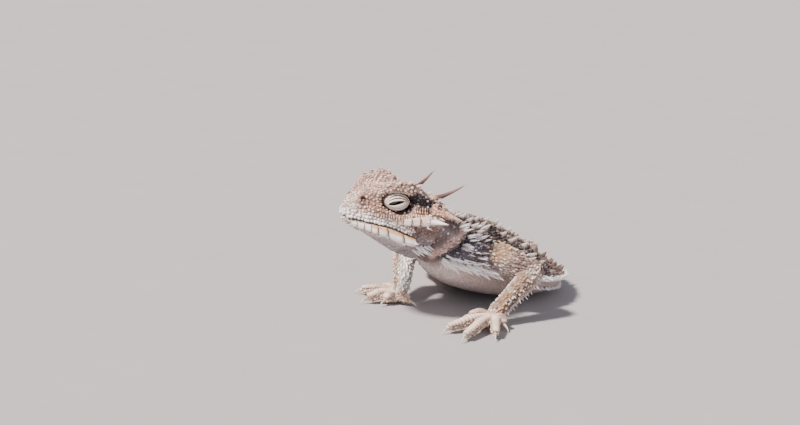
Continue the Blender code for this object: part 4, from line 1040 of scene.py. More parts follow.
@dataclass(frozen=True)
class Cell:
    """One small form that is repeated over the skin: its points along, across and out, its quads and its shade, a
    painted shade that darkens its foot and a painted highlight that lightens its top.
    """

    points: Array
    faces: list[Array]
    shade: Array

    @staticmethod
    def leaf(dark: float = 0.45) -> Cell:
        """A keeled scale: a leaf-shaped sheet that rises to its raised tip, with painted shade darkest where it leaves
        the skin and along its sides, and a painted highlight at its tip.
        """
        a = np.array([0.0, 0.34, 0.7, 1.0])[:, None]
        b = np.array([-1.0, -0.45, 0.0, 0.45, 1.0])[None]
        width = np.array([0.62, 1.0, 0.8, 0.1])[:, None]
        rise = np.array([0.25, 0.75, 1.0, 0.92])[:, None]
        high = rise * (1 - np.abs(b) ** 1.6 * 0.8) + 0.22 * (b == 0) - 0.32 * (np.abs(b) == 1)
        points = np.stack(np.broadcast_arrays(a * 1.25 - 0.5, b * width, high - 0.35 * (a == 0)), axis=-1)
        shade = np.broadcast_to(dark + (1.12 - dark) * a**0.7, high.shape) * (1 - 0.5 * (1 - dark) * (np.abs(b) == 1))
        return Cell(points.reshape(-1, 3), [grid_faces(4, 5, False)], shade.ravel())

    @staticmethod
    def pebble(dark: float = 0.3, sides: int = 7) -> Cell:
        """A low dome on a many-sided base: rings of 1, 0.86 and 0.5 of its radius, with painted shade at its foot and a
        painted highlight on its crown.
        """
        angle = np.arange(sides) * 2 * math.pi / sides
        radii, highs = np.array([1.0, 0.86, 0.5]), np.array([-0.35, 0.55, 0.93])
        rings = np.stack([radii[:, None] * np.cos(angle), radii[:, None] * np.sin(angle),
                          np.broadcast_to(highs[:, None], (3, sides))], axis=-1)
        points = np.concatenate([rings.reshape(-1, 3), [[0.0, 0.0, 1.0]]])
        j = np.arange(sides)
        cap = np.stack([j + 2 * sides, (j + 1) % sides + 2 * sides, np.full(sides, 3 * sides)], axis=1)
        shade = np.concatenate([np.repeat([dark, 0.92, 1.1], sides), [1.14]])
        return Cell(points, [grid_faces(3, sides, True), cap], shade)

    @staticmethod
    def plate(dark: float = 0.6) -> Cell:
        """A pillow with a squarish outline, with painted shade at its foot and a painted highlight on its top; its
        height falls with the fourth power of both ways.
        """
        a, b = np.meshgrid(np.linspace(-1, 1, 6), np.linspace(-1, 1, 6), indexing="ij")
        high = (1 - a**4) * (1 - b**4) - 0.4 * (np.maximum(np.abs(a), np.abs(b)) == 1)
        squeeze = 1 - 0.13 * (a * b) ** 2
        points = np.stack([a * squeeze, b * squeeze, high], axis=-1).reshape(-1, 3)
        return Cell(points, [grid_faces(6, 6, False)], (dark + (1.08 - dark) * np.clip(high, 0, 1)).ravel())

    @staticmethod
    def spine(sides: int = 8, bend: float = 0.16, flatness: float = 0.75) -> Cell:
        """A bent cone along its first axis: its radius falls as one less the 1.15th power of the way to its tip."""
        a = np.array([0.0, 0.2, 0.45, 0.7, 0.88, 1.0])[:, None]
        angle = (np.arange(sides) * 2 * math.pi / sides)[None]
        radius = 1 - 0.97 * a**1.15
        ridge = 1 + 0.25 * np.maximum(np.sin(angle), 0) ** 4
        points = np.stack(np.broadcast_arrays(
            a, radius * np.cos(angle), radius * np.sin(angle) * flatness * ridge + bend * a * a), axis=-1)
        cap = np.array([[5 * sides, 5 * sides + j, 5 * sides + j + 1] for j in range(1, sides - 1)])
        # Painted shade at the spine's root and a painted highlight towards its tip.
        shade = np.broadcast_to(0.6 + 0.5 * a**0.6, (6, sides))
        return Cell(points.reshape(-1, 3), [grid_faces(6, sides, True), cap], shade.ravel())


@dataclass
class Roots:
    """Where scales or spines stand: place, ways ahead and out, sizes, colour, sample, and colour of the tip."""

    points: Array
    ahead: Array
    out: Array
    size: Array
    tint: Array
    info: Samples
    tip: Array | None = None

    def pick(self, index: Array) -> Roots:
        """Those at the indices."""
        return Roots(self.points[index], self.ahead[index], self.out[index], self.size[index],
                     self.tint[index], self.info.pick(index), None if self.tip is None else self.tip[index])


def chart_place(info: Samples) -> Array:
    """The root's place on the charts: each form has its own square of a four by four sheet."""
    corner = np.stack([info.part % 4, info.part // 4], axis=-1) * 0.25
    return corner + 0.01 + 0.23 * np.stack([np.clip(info.along, 0, 1), np.clip(info.around, 0, 1)], axis=-1)


def repeat(cell: Cell, roots: Roots, along_way: bool = False) -> Surface:
    """Carries a cell to every root.

    Each point is root + ahead * along * length + across * sideways * width + out * height, so the whole coat
    is one product of the cell's points with the roots' frames.

    Args:
        cell: the form.
        roots: where it stands and how large it is: length, width and height.
        along_way: whether it points along its own way, as a spine does, or lies on the skin, as a scale does.

    Returns:
        One surface with tint and chart.
    """
    kept, turned = (roots.ahead, roots.out) if along_way else (roots.out, roots.ahead)
    kept = unit(kept)
    turned = unit(turned - kept * (turned * kept).sum(axis=1, keepdims=True))
    ahead, out = (kept, turned) if along_way else (turned, kept)
    frames = np.stack([ahead, np.cross(out, ahead), out], axis=1) * roots.size[:, :, None]
    points = roots.points[:, None] + np.einsum("kc,ncd->nkd", cell.points, frames)
    points[..., 2] = np.maximum(points[..., 2], 0.02)
    # The cell's painted shade and painted highlight scale the root's colour.
    tint = roots.tint[:, None] * cell.shade[None, :, None]
    if roots.tip is not None:
        share = np.clip(cell.points[:, 0], 0, 1)[None, :, None] ** 0.7
        tint = tint * (1 - share) + roots.tip[:, None] * share
    chart = chart_place(roots.info)[:, None] + 0.0014 * np.clip(cell.points[None, :, :2], -1, 1)
    count, size = len(roots.points), len(cell.points)
    faces = [(block[None] + (np.arange(count) * size)[:, None, None]).reshape(-1, block.shape[1])
             for block in cell.faces]
    return Surface(points.reshape(-1, 3), faces, np.clip(tint, 0, 1).reshape(-1, 3), chart.reshape(-1, 2))


def thinned(points: Array, spacing: Array) -> Array:
    """Indices of points kept so that none lies within the spacing of one kept before it."""
    tree = kdtree.KDTree(len(points))
    for i, point in enumerate(points.tolist()):
        tree.insert(point, i)
    tree.balance()
    free = np.ones(len(points), bool)
    kept = []
    for i, point in enumerate(points.tolist()):
        if free[i]:
            kept.append(i)
            free[[found[1] for found in tree.find_range(point, spacing[i])]] = False
    return np.array(kept)


@dataclass
class Coat:
    """The small scales: scattered over the skin, thinned to each region's spacing, and shaped for the region."""

    surface: Surface
    info: Samples
    out: Array
    markings: Markings
    head: Head
    eye: EyePlace
    tries: float = 4.5

    def spacing(self) -> Array:
        """Distance between neighbouring scales at each point of the skin, in millimetres."""
        part, q = self.info.part, self.head.inside(self.surface.points)
        up = np.sin(self.info.around * 2 * math.pi)
        above = q[:, 2] - self.head.mouth(q[:, 0])
        head = 0.53 + 0.12 * ramp(q[:, 2], -1.0, 1.5) * ramp(q[:, 0], 14.0, 6.0) + 0.07 * wobble(q, 3.0, 51)
        head = head + 0.05 * ramp(above, 2.6, 1.6)
        trunk = 0.6 + 0.1 * ramp(self.info.along, 0.68, 0.8)
        end = np.isin(part, (Part.END_LEFT, Part.END_RIGHT, Part.FOOT_LEFT, Part.FOOT_RIGHT))
        return np.where(part == Part.HEAD, head, np.where(part == Part.TRUNK, trunk, np.where(end, 0.52, 0.62)))

    def scatter(self) -> tuple[Roots, Array]:
        """Roots at random places on the triangles, as many as the spacing asks, and then thinned."""
        draw = np.random.default_rng(SEED)
        triangles, space = triangles_of(self.surface), self.spacing()
        a, b, c = (self.surface.points[triangles[:, i]] for i in range(3))
        area = np.linalg.norm(np.cross(b - a, c - a), axis=1) / 2
        wanted = area / space[triangles[:, 0]] ** 2
        chosen = draw.choice(len(triangles), int(wanted.sum() * self.tries), p=wanted / wanted.sum())
        u, v = draw.random((2, len(chosen), 1))
        over = u + v > 1
        u, v = np.where(over, 1 - u, u), np.where(over, 1 - v, v)
        points = a[chosen] * (1 - u - v) + b[chosen] * u + c[chosen] * v
        corner = triangles[chosen, 0]
        bare = self.bare(points, self.info.part[corner])
        points, corner = points[~bare], corner[~bare]
        kept = thinned(points, space[corner] * 0.93)
        points, corner = points[kept], corner[kept]
        info, out, space = self.info.pick(corner), self.out[corner], space[corner]
        tint = self.markings.of(points, info, out)
        edge = self.markings.skin.pale_edge(info.along * 15)
        under = (info.part == Part.TRUNK) & (np.sin(info.around * 2 * math.pi) < edge)
        calm = (info.part == Part.HEAD) | ((info.part == Part.TRUNK) & (info.along < 0.16))
        fleck = draw.random(len(points)) < np.where(under, 0.0, np.where(calm, 0.05, 0.17))
        tint = blend(tint, Tone.CREAM, np.where(fleck, draw.uniform(0.4, 0.9, len(points)), 0))
        spread = np.where(under, 0.06, 0.32)[:, None]
        tint = tint * (1 + spread * draw.uniform(-1, 0.8, (len(points), 1))) * draw.uniform(0.97, 1.03, (len(points), 3))
        way = info.lie + 0.12 * draw.normal(size=info.lie.shape)
        size = np.repeat((space * draw.uniform(0.88, 1.12, len(space)))[:, None], 3, axis=1)
        return Roots(points, way, out, size, tint, info), space

    def bare(self, points: Array, part: Array) -> Array:
        """Where no small scale stands: on the lids, on the mouth's line and under plates."""
        q = self.head.inside(points)
        x, y, z = q.T
        p = self.eye
        away = np.hypot((x - p.lid_x) / p.lid_length, (z - p.lid_z) / p.lid_height)
        above = z - self.head.mouth(x)
        lids = (away < 1.02) & (np.abs(y) > 2)
        jaw = (above > -2.15) & (above < 1.6) & (x > 4.2) & (np.abs(y) > 0.8)
        cheek = (x > 1.6) & (x < 6.4) & (z > -3.9) & (z < -1.75) & (away > 1.2) & (np.abs(y) > 4)
        hole = np.linalg.norm(q * (1, 0, 1) + np.abs(q) * (0, 1, 0) - self.markings.skin.nostril(), axis=1) < 0.62
        return (part == Part.HEAD) & (lids | jaw | hole | cheek) | (points[:, 2] < 0.16)

    def pieces(self) -> dict[str, Surface]:
        """The scales as one surface for each region of the body."""
        roots, space = self.scatter()
        part, up = roots.info.part, np.sin(roots.info.around * 2 * math.pi)
        along = roots.info.along * 15
        soft = self.markings.soft(roots.points, roots.info) > 0.5
        tail = (part == Part.TRUNK) & (along > 10.4)
        trunk = (part == Part.TRUNK) & ~tail
        low = trunk & ~soft & (up < self.markings.skin.pale_edge(along) - 0.03)
        back = trunk & ~low & ~soft & (along > 2.4)
        neck = trunk & ~low & ~soft & (along <= 2.4)
        hands = np.isin(part, (Part.END_LEFT, Part.END_RIGHT, Part.FOOT_LEFT, Part.FOOT_RIGHT))
        legs = (part > Part.TRUNK) & ~hands
        kinds = {
            "scales_head": ((part == Part.HEAD) & ~soft, Cell.pebble(), (0.56, 0.5, 0.4)),
            "scales_throat": (soft, Cell.pebble(0.74), (0.56, 0.5, 0.14)),
            "scales_neck": (neck, Cell.pebble(), (0.62, 0.52, 0.36)),
            "scales_belly": (low, Cell.leaf(0.86), (1.0, 0.54, 0.1)),
            "scales_back": (back, Cell.leaf(), (1.1, 0.55, 0.42)),
            "scales_tail": (tail, Cell.leaf(), (1.2, 0.55, 0.4)),
            "scales_legs": (legs, Cell.leaf(), (1.12, 0.56, 0.46)),
            "scales_hands": (hands, Cell.leaf(0.4), (1.05, 0.58, 0.4)),
        }
        made = {}
        for name, (chosen, cell, shape) in kinds.items():
            some = roots.pick(np.flatnonzero(chosen))
            some.size = some.size * shape
            made[name] = repeat(cell, some)
        return made


# Spines


@dataclass
class Spines:
    """The long scales: rosettes of the back, fringes of the flanks, tufts of the neck, rows on legs and tail."""

    head: Head
    trunk: Trunk
    legs: list[Limb]
    markings: Markings
    inset: float = 0.25
    back_rows: tuple[float, ...] = (0.99, 0.93, 0.85, 0.74, 0.62, 0.48, 0.34, 0.2)
    back_spacing: float = 0.36
    fringe_spacing: float = 0.15
    low_angle: float = 0.34
    fringe_line: tuple[tuple[float, ...], ...] = (
        (0.68, 1.05, 1.5, 2.08, 2.66, 3.23, 3.61, 4.6, 6.0), (0.71, 0.68, 0.53, 0.39, 0.29, 0.16, 0.09, 0.02, -0.05))
    neck_tufts: tuple[tuple[float, float], ...] = (
        (1.4, 0.0), (1.75, 0.04), (2.05, 0.03), (1.8, 0.4), (2.15, 0.45), (1.45, 0.62), (2.35, 0.85))
    clearance: float = 0.5

    def clear(self, points: Array) -> Array:
        """Which points stand clear of the legs' lines."""
        free = np.ones(len(points), bool)
        for leg in self.legs:
            for (a, ra), (b, rb) in zip(leg.joints[:2], leg.joints[1:]):
                a, b = np.array(a), np.array(b)
                t = np.clip((points - a) @ (b - a) / ((b - a) @ (b - a)), 0, 1)
                away = np.linalg.norm(points - a - t[:, None] * (b - a), axis=1)
                free &= away > ra + (rb - ra) * t + self.clearance
        return free

    def on_trunk(self, s: Array, angle: Array, size: Array, lean: Array, tip: Tone, pale: Array,
                 drop: float = 0.0) -> Roots:
        """Roots on the trunk for spines that lean back.

        Args:
            s: stations.
            angle: angles round the body.
            size: (n, 3) lengths, half widths and half heights.
            lean: how far back, as a share of the way out.
            tip: tone of the tips.
            pale: how much of that tone the bases carry.
            drop: how far down they lean.

        Returns:
            The roots that stand clear of the legs.
        """
        s, angle = np.asarray(s, float), np.asarray(angle, float)
        points, out = self.trunk.point(s, angle, self.inset), self.trunk.out(s, angle)
        back = np.concatenate([self.trunk.frame(s)[1], np.zeros((len(s), 1))], axis=1)
        way = unit(out + back * np.broadcast_to(lean, s.shape)[:, None] - np.array([0, 0, 1.0]) * drop)
        info = Samples.of(points, back, s / 15, (angle % (2 * math.pi)) / (2 * math.pi), Part.TRUNK)
        tint = blend(self.markings.of(points, info, out), tip, pale)
        roots = Roots(points - out * 0.1, way, out, size, tint, info, flat(tip, len(s)))
        return roots.pick(np.flatnonzero(self.clear(points) & self.clear(points + way * size[:, :1] * 0.8)))

    def back(self) -> list[Surface]:
        """Spines in rows down the back, some long with a rosette of small ones round them, between short ones."""
        draw = np.random.default_rng(SEED + 1)
        s, angle, length = [], [], []
        for row, height in enumerate(self.back_rows):
            for side in (1, -1):
                place = np.arange((1.5 if height > 0.6 else 2.5) + 0.17 * (row % 2), 10.5, self.back_spacing)
                s.append(place + draw.uniform(-0.09, 0.09, len(place)))
                turn = math.pi / 2 - side * (math.pi / 2 - math.asin(height)) * 1.0
                angle.append(turn + draw.uniform(-0.05, 0.05, len(place)))
                tall = (np.arange(len(place)) + row) % 2 == 0
                length.append(np.where(tall & (row > 0), 2.0, 1.05) * draw.uniform(0.75, 1.2, len(place)))
        s, angle, length = (np.concatenate(rows) for rows in (s, angle, length))
        size = np.stack([length, 0.3 + 0.22 * length, 0.3 + 0.16 * length], axis=1)
        tall = length > 1.4
        ring = np.arange(6) * math.pi / 3
        lengths = np.repeat(length[tall], 6)
        around = np.tile(ring, tall.sum()) + draw.uniform(-0.2, 0.2, len(lengths))
        s_ring = np.repeat(s[tall], 6) + np.cos(around) * 0.85 / 5
        a_ring = np.repeat(angle[tall], 6) + np.sin(around) * 0.85 / 12
        small = np.stack([lengths * 0.32 + 0.25, np.full(len(lengths), 0.34), np.full(len(lengths), 0.26)], axis=1)
        return [
            *[repeat(Cell.spine(), self.on_trunk(s[some], angle[some], size[some], 1.25, tone, 0.05), True)
              for some, tone in ((tall & (s < 5.0), Tone.CREAM), (tall & (s >= 5.0), Tone.BROWN))],
            repeat(Cell.spine(), self.on_trunk(s[~tall], angle[~tall], size[~tall], 1.25, Tone.GREY, 0.1), True),
            repeat(Cell.spine(6), self.on_trunk(s_ring, a_ring, small, 1.5, Tone.GREY, 0.1), True),
        ]

    def fringes(self) -> list[Surface]:
        """Two rows of flat pale spines on each flank: the upper at the widest place, lower at the shoulder."""
        draw = np.random.default_rng(SEED + 2)
        made = []
        for side in (1, -1):
            middle = 0.0 if side > 0 else math.pi
            for row, (shift, long, drop) in enumerate(((0.0, 1.0, -0.15), (-0.09, 0.85, 0.05), (0.1, 0.7, -0.3))):
                s = np.concatenate([np.arange(0.72, 3.4, 0.17), np.arange(3.4, 10.2, self.fringe_spacing)])
                s = s + 0.05 * row + draw.uniform(-0.03, 0.03, len(s))
                length = draw.uniform(2.2, 3.0, len(s)) * long * (1 - 0.22 * ramp(s, 3.0, 4.2))
                turn = -np.interp(s, *self.fringe_line) + shift * ramp(s, 5.0, 3.0) + 0.05 * (row == 2)
                size = np.stack([length, length * 0.24, length * 0.16], axis=1)
                made.append((s, middle + side * (turn + draw.uniform(-0.03, 0.03, len(s))), size,
                             draw.uniform(0.5, 1.2, len(s)), Tone.WHITE, 1.0, drop))
            s = np.arange(4.5, 9.0, self.fringe_spacing * 1.5)
            length = draw.uniform(1.3, 1.8, len(s))
            made.append((s, middle - side * self.low_angle, np.stack([length, length * 0.3, length * 0.16], 1), 1.2,
                         Tone.WHITE, 0.6))
        return [repeat(Cell.spine(), self.on_trunk(*row), True) for row in made]

    def neck(self) -> list[Surface]:
        """Tufts of pale spines on each side of the neck, the edge of the gular fold and the nape."""
        draw = np.random.default_rng(SEED + 3)
        made = []
        for side in (1, -1):
            middle = 0.0 if side > 0 else math.pi
            tufts = np.repeat(np.array(self.neck_tufts), 7, axis=0)
            spread = draw.normal(size=(len(tufts), 2)) * (0.12, 0.08)
            length = 2.6 * draw.uniform(0.5, 1.15, len(tufts)) * (1 - 1.2 * np.abs(spread).sum(axis=1))
            size = np.stack([length, 0.12 + 0.11 * length, 0.1 + 0.08 * length], axis=1)
            made.append((tufts[:, 0] + spread[:, 0], middle + side * (tufts[:, 1] + spread[:, 1]), size,
                         draw.uniform(0.6, 1.6, len(tufts)), Tone.WHITE, 0.15, 0.15))
            s = draw.uniform(0.35, 2.3, 44)
            turn = draw.uniform(0.72, 1.4, 44)
            length = draw.uniform(0.7, 1.5, 44)
            made.append((s, middle + side * turn, np.stack([length, length * 0.4, length * 0.32], 1), 1.2,
                         Tone.CREAM, 0.2))
        return [repeat(Cell.spine(), self.on_trunk(*row), True) for row in made]

    def tail(self) -> list[Surface]:
        """The fringe along each edge of the tail, and rows above that shrink towards the tip."""
        draw = np.random.default_rng(SEED + 4)
        made = []
        for side in (1, -1):
            middle = 0.0 if side > 0 else math.pi
            for turn, step, long in ((0.12, 0.2, 1.9), (0.7, 0.3, 1.3), (1.05, 0.34, 1.5)):
                s = np.arange(10.8 + turn * 0.1, 14.4, step)
                taper = 1 - (s - 10.6) / 6
                length = long * taper * draw.uniform(0.8, 1.15, len(s))
                made.append((s, middle + side * turn, np.stack([length, length * 0.34, length * 0.24], 1), 1.2,
                             Tone.CREAM, 0.35))
        return [repeat(Cell.spine(), self.on_trunk(*row), True) for row in made]

    def on_leg(self, draw: np.random.Generator, leg: Limb, step: int, way: tuple, lengths: tuple, width: float,
               start: float, end: float) -> Roots:
        """Roots of a row of spines along one edge of one length of a leg, twice as many as the lengths given.

        Args:
            draw: the random numbers.
            leg: the leg.
            step: 0 for its upper length and 1 for the lower.
            way: which way the row faces.
            lengths: lengths of spines along the row.
            width: width of a spine.
            start: share of the way where the row starts.
            end: share of the way where it ends.

        Returns:
            The roots.
        """
        (a, ra), (b, rb) = leg.joints[step], leg.joints[step + 1]
        a, b = np.array(a), np.array(b)
        along = unit(b - a)
        way = unit(np.array(way) - along * (np.array(way) @ along))
        count = 2 * len(lengths) - 1
        share = np.linspace(start, end, count)[:, None]
        length = np.interp(np.linspace(0, 1, count), np.linspace(0, 1, len(lengths)), lengths)
        length = length * np.where(np.arange(count) % 2 == 0, 1.0, 0.7) * draw.uniform(0.85, 1.15, count)
        points = a + (b - a) * share + way * (ra + (rb - ra) * share) * 0.9
        points = points + np.cross(along, way) * draw.normal(size=(count, 1)) * 0.3
        lean = unit(way + along * draw.uniform(0.25, 0.6, (count, 1)) + draw.uniform(-0.1, 0.2, (count, 3)))
        info = Samples.of(points, np.tile(along, (count, 1)), share[:, 0], np.zeros(count), leg.first_part + step)
        tint = blend(self.markings.of(points, info, np.tile(way, (count, 1))), Tone.CREAM, 0.25)
        size = np.stack([length, np.full(count, width * 0.4), np.full(count, width * 0.28)], axis=1)
        return Roots(points, lean, np.tile(along, (count, 1)), size, tint, info, flat(Tone.CREAM, count))

    def rows_of_legs(self) -> list[Surface]:
        """The rows of spines on all four legs."""
        draw = np.random.default_rng(SEED + 5)
        rows = []
        for leg in self.legs[:2]:
            rows += [
                (leg, 0, (0.1 * leg.side, 0.9, 0.3), (1.2, 1.4, 1.5, 1.3), 1.1, 0.45, 0.9),
                (leg, 0, (0, -0.3, 1), (0.9, 1.1, 0.9), 1.1, 0.5, 0.9),
                (leg, 1, (0.5 * leg.side, 0.75, 0.35), (1.2, 1.3, 1.2, 1.2, 1.0, 0.9, 0.8), 1.0, 0.05, 0.9),
                (leg, 1, (0.9 * leg.side, 0.1, 0.6), (0.9, 0.9, 0.8, 0.8, 0.7), 1.0, 0.1, 0.85),
            ]
        for leg in self.legs[2:]:
            rows += [
                (leg, 0, (0, -0.6, 0.8), (1.1, 1.4, 1.2), 1.1, 0.5, 0.92),
                (leg, 0, (0, 0.5, 0.8), (1.0, 1.2, 1.0), 1.1, 0.4, 0.9),
                (leg, 1, (leg.side * 0.9, 0, 0.5), (1.8, 1.9, 1.6), 1.4, 0.15, 0.8),
            ]
        return [repeat(Cell.spine(), self.on_leg(draw, *row), True) for row in rows]


# Head plates


@dataclass
class Plates:
    """The large scales of the head: lip rows, jaw plates and spikes, cheek ridges, brow edge, crown, small horns."""

    head: Head
    markings: Markings
    temporal: tuple = (
        ((-0.8, 5.7, -1.0), (-2.6, 6.9, -0.7), 1.3, Tone.BROWN),
        ((0.9, 7.0, -2.1), (-4.9, 10.3, -3.4), 2.9, Tone.PEACH),
        ((0.2, 8.0, -3.4), (-0.9, 9.7, -3.7), 1.5, Tone.PINK),
        ((1.6, 8.1, -4.3), (-0.9, 11.3, -4.1), 2.5, Tone.WHITE))
    rough_width: float = 2.6
    shelf_edges: tuple[float, ...] = (9.4, 8.3, 7.2, 5.6, 3.95, 2.0)
    jaw_edges: tuple[float, ...] = (16.4, 15.4, 14.2, 13.0, 11.8, 9.8, 6.3, 3.3)
    brow: tuple = ((5.2, 0.9, 1.1), (7.2, 0.8, 1.4), (9.3, 0.7, 1.4), (11.3, 0.6, 1.3))
    crown: tuple = ((2.2, 3.2), (4.4, 1.6), (6.6, 3.4), (9.4, 2.2), (12.0, 1.4))

    def wall(self, x: Array, z: Array, side: int, sunk: float = 0.25) -> tuple[Array, Array]:
        """Points on the side of the head at places forward and heights, and the ways out, in the head's frame."""
        def at(x: Array, z: Array) -> Array:
            rings = self.head.rings(x, 96, -sunk)[:, 6:47]
            y = np.array([np.interp(-height, -ring[:, 2], ring[:, 1]) for ring, height in zip(rings, z)])
            return np.stack([x, side * y, z], axis=1)
        here = at(x, z)
        out = np.cross(at(x + 0.2, z) - here, at(x, z - 0.2) - here)
        return here, unit(out * np.sign((out * (0, side, 0)).sum(axis=1, keepdims=True) + 1e-9))

    def roots(self, here: Array, ahead: Array, out: Array, size: Array, base: Tone | Array, tip: Tone | None) -> Roots:
        """Roots in the animal's frame from places and ways in the head's frame."""
        count = len(here)
        tint = flat(base, count) if isinstance(base, Tone) else base
        info = Samples.of(here, ahead, (here[:, 0] + 2) / 20, np.where(here[:, 1] > 0, 0.25, 0.75), Part.HEAD)
        info.around = info.around + here[:, 2] * 0.015
        return Roots(self.head.out(here), self.head.way(ahead), self.head.way(out),
                     np.broadcast_to(size, (count, 3)).astype(float), tint, info,
                     None if tip is None else flat(tip, count))

    def strip(self, side: int, edges: tuple[float, ...], middle: Array, half: Array, high: float,
              tones: tuple[Tone, Tone], lean: float = 0.3) -> Surface:
        """A row of overlapping plates as one sheet that follows the side of the head.

        Between two edges its height rises with the way back and drops at the next edge; across, it is one less
        the fourth power of the distance from the middle, and each plate's lower side bows out as a half sine.

        Args:
            side: 1 for the left, -1 for the right.
            edges: places forward where one plate ends and the next begins.
            middle: heights of the row's middle at the edges.
            half: half its breadth at the edges.
            high: height of a plate's rear end over the skin.
            tones: tone of the upper and of the lower half.
            lean: how far the lower side of a plate trails behind the upper, as a share of its breadth.

        Returns:
            The sheet, its border sunk into the skin.
        """
        t = np.array([0.0, 0.03, 0.08, 0.2, 0.35, 0.5, 0.65, 0.78, 0.88, 0.95, 0.99])
        w = np.linspace(-1, 1, 15)
        way = np.append((np.arange(len(edges) - 1)[:, None] + t).ravel(), len(edges) - 1.0)
        phase = np.append(np.tile(t, len(edges) - 1), 1.0)
        x, mid, wide = (np.interp(way, np.arange(len(edges)), row) for row in (edges, middle, half))
        bow = 1 + 0.3 * np.sin(phase * math.pi)[:, None] * (w < 0)
        z = mid[:, None] + wide[:, None] * w * bow
        x = (x[:, None] - lean * wide[:, None] * (1 - w) * 0.5).ravel()
        here, out = self.wall(x, z.ravel(), side, 0.1)
        profile = ((0.3 + 0.7 * phase**0.8) * ramp(phase, 0.0, 0.08) * ramp(phase, 1.0, 0.9))[:, None]
        rise = high * profile * (1 - w**4) - 0.3 * (np.abs(w) == 1)
        rise[[0, -1]] = -0.3
        surface = Surface((here + out * rise.reshape(-1, 1)), [grid_faces(len(phase), len(w), False)])
        a, b, c = (surface.points[surface.faces[0][:, k]] for k in range(3))
        if (np.cross(b - a, c - a) * out[surface.faces[0][:, 0]]).sum() < 0:
            surface.faces = [surface.faces[0][:, ::-1]]
        grain = wobble(here, 1.1, 61)
        upper = np.tile(ramp(w, -0.15, 0.35), len(phase)) * (0.55 + 0.45 * ramp(grain, -0.6, 0.3))
        tint = blend(blend(flat(tones[1], len(here)), Tone.PINK, 0.35 + 0.3 * wobble(here, 1.7, 62)), tones[0], upper)
        # Painted shade darkens each plate towards its edges, where it sinks into the skin.
        edge = (ramp(phase, 0.0, 0.12) * ramp(phase, 1.0, 0.93))[:, None] * ramp(np.abs(w), 1.02, 0.75)
        surface.tint = tint * (0.4 + 0.6 * edge.reshape(-1, 1)) * (1 + 0.06 * grain[:, None])
        info = Samples.of(here, here, (here[:, 0] + 2) / 20, np.where(here[:, 1] > 0, 0.25, 0.75), Part.HEAD)
        info.around = info.around + here[:, 2] * 0.015
        surface.chart = chart_place(info)
        surface.points = self.head.out(surface.points)
        return surface

    def shelf(self, side: int) -> list[Surface]:
        """The ridge of broad plates below the temple, brown in front and pale behind."""
        edges = self.shelf_edges
        middle = np.interp(edges, [0.0, 3.0, 4.5, 6.4, 9.4], [-4.3, -4.3, -4.6, -5.0, -5.5])
        half = np.interp(edges, [2.0, 5.6, 9.4], [0.85, 0.8, 0.6])
        return [self.strip(side, edges[:3], middle[:3], half[:3], 0.4, (Tone.PEACH, Tone.CREAM)),
                self.strip(side, edges[2:], middle[2:], half[2:], 0.95, (Tone.PINK, Tone.WHITE))]

    def lips(self, side: int) -> list[Surface]:
        """Small uneven granules above the line of the mouth in three rows."""
        draw = np.random.default_rng(SEED + 6)
        made = []
        for above, count, radius in ((0.4, 23, 0.38), (1.05, 21, 0.4), (1.6, 24, 0.28)):
            x = np.linspace(17.0, 4.6, count) + draw.uniform(-0.15, 0.15, count)
            here, out = self.wall(x, self.head.mouth(x) + above + draw.uniform(-0.12, 0.12, count), side, 0.3)
            size = np.array([1.1, 1.0, 1.2]) * radius * draw.uniform(0.7, 1.15, (count, 1))
            pale = blend(flat(Tone.WHITE, count), Tone.PINK, draw.uniform(0, 0.6, count) * (0.4 + 0.6 * (above > 1)))
            pale = blend(pale, Tone.OCHRE, 0.5 * ramp(x, 8.5, 5.5) * draw.random(count))
            made.append(repeat(Cell.pebble(0.2, 8), self.roots(
                here, np.tile([-1.0, 0, 0.1], (count, 1)), out, size, pale, None)))
        return made

    def jaw_spikes(self, side: int) -> list[Surface]:
        """The long plates along the jaw, ochre next to the mouth and pale below, the spike that ends them, a point
        under each plate, and the tuft at the angle of the jaw."""
        edges = np.array(self.jaw_edges)
        middle = self.head.mouth(edges) - np.interp(edges, [3.3, 6.3, 16.4], [1.1, 1.2, 0.95])
        half = np.interp(edges, [3.3, 6.3, 9.8, 13.0, 16.4], [0.7, 1.0, 0.95, 0.75, 0.55])
        made = [self.strip(side, edges[:4], middle[:4], half[:4], 0.34, (Tone.CREAM, Tone.WHITE)),
                self.strip(side, edges[3:], middle[3:], half[3:], 0.55, (Tone.OCHRE, Tone.WHITE))]
        x = edges[2:-1] + 0.35
        count = len(x)
        here, out = self.wall(x, np.interp(x, edges[::-1], (middle - half)[::-1]) + 0.3, side, 0.0)
        way = np.tile([-0.7, side * 0.35, -0.45], (count, 1))
        length = np.linspace(0.5, 1.1, count)
        made.append(repeat(Cell.spine(), self.roots(here, way, out, np.stack([length, length * 0.4, length * 0.3], 1),
                                                    Tone.WHITE, Tone.WHITE), True))
        made.append(repeat(Cell.spine(12), self.roots(
            np.array([[5.0, side * 6.5, -9.1]]), np.array([[-1.9, side * 1.2, -0.3]]), np.array([[0, side * 1.0, 0.3]]),
            np.array([[2.4, 0.85, 0.7]]), Tone.WHITE, Tone.WHITE), True))
        draw = np.random.default_rng(SEED + 8)
        x = np.linspace(2.6, -0.9, 8)
        here = np.concatenate([self.head.side(x[i::2], row, side, -0.3) for i, row in enumerate((5.05, 5.35))])
        way = np.tile([-0.75, side * 0.55, -0.55], (8, 1)) + draw.uniform(-0.12, 0.12, (8, 3))
        length = draw.uniform(1.7, 2.5, 8)
        made.append(repeat(Cell.spine(), self.roots(
            here, way, np.tile([0, 0, 1.0], (8, 1)), np.stack([length, length * 0.3, length * 0.2], 1),
            Tone.WHITE, Tone.WHITE), True))
        return made

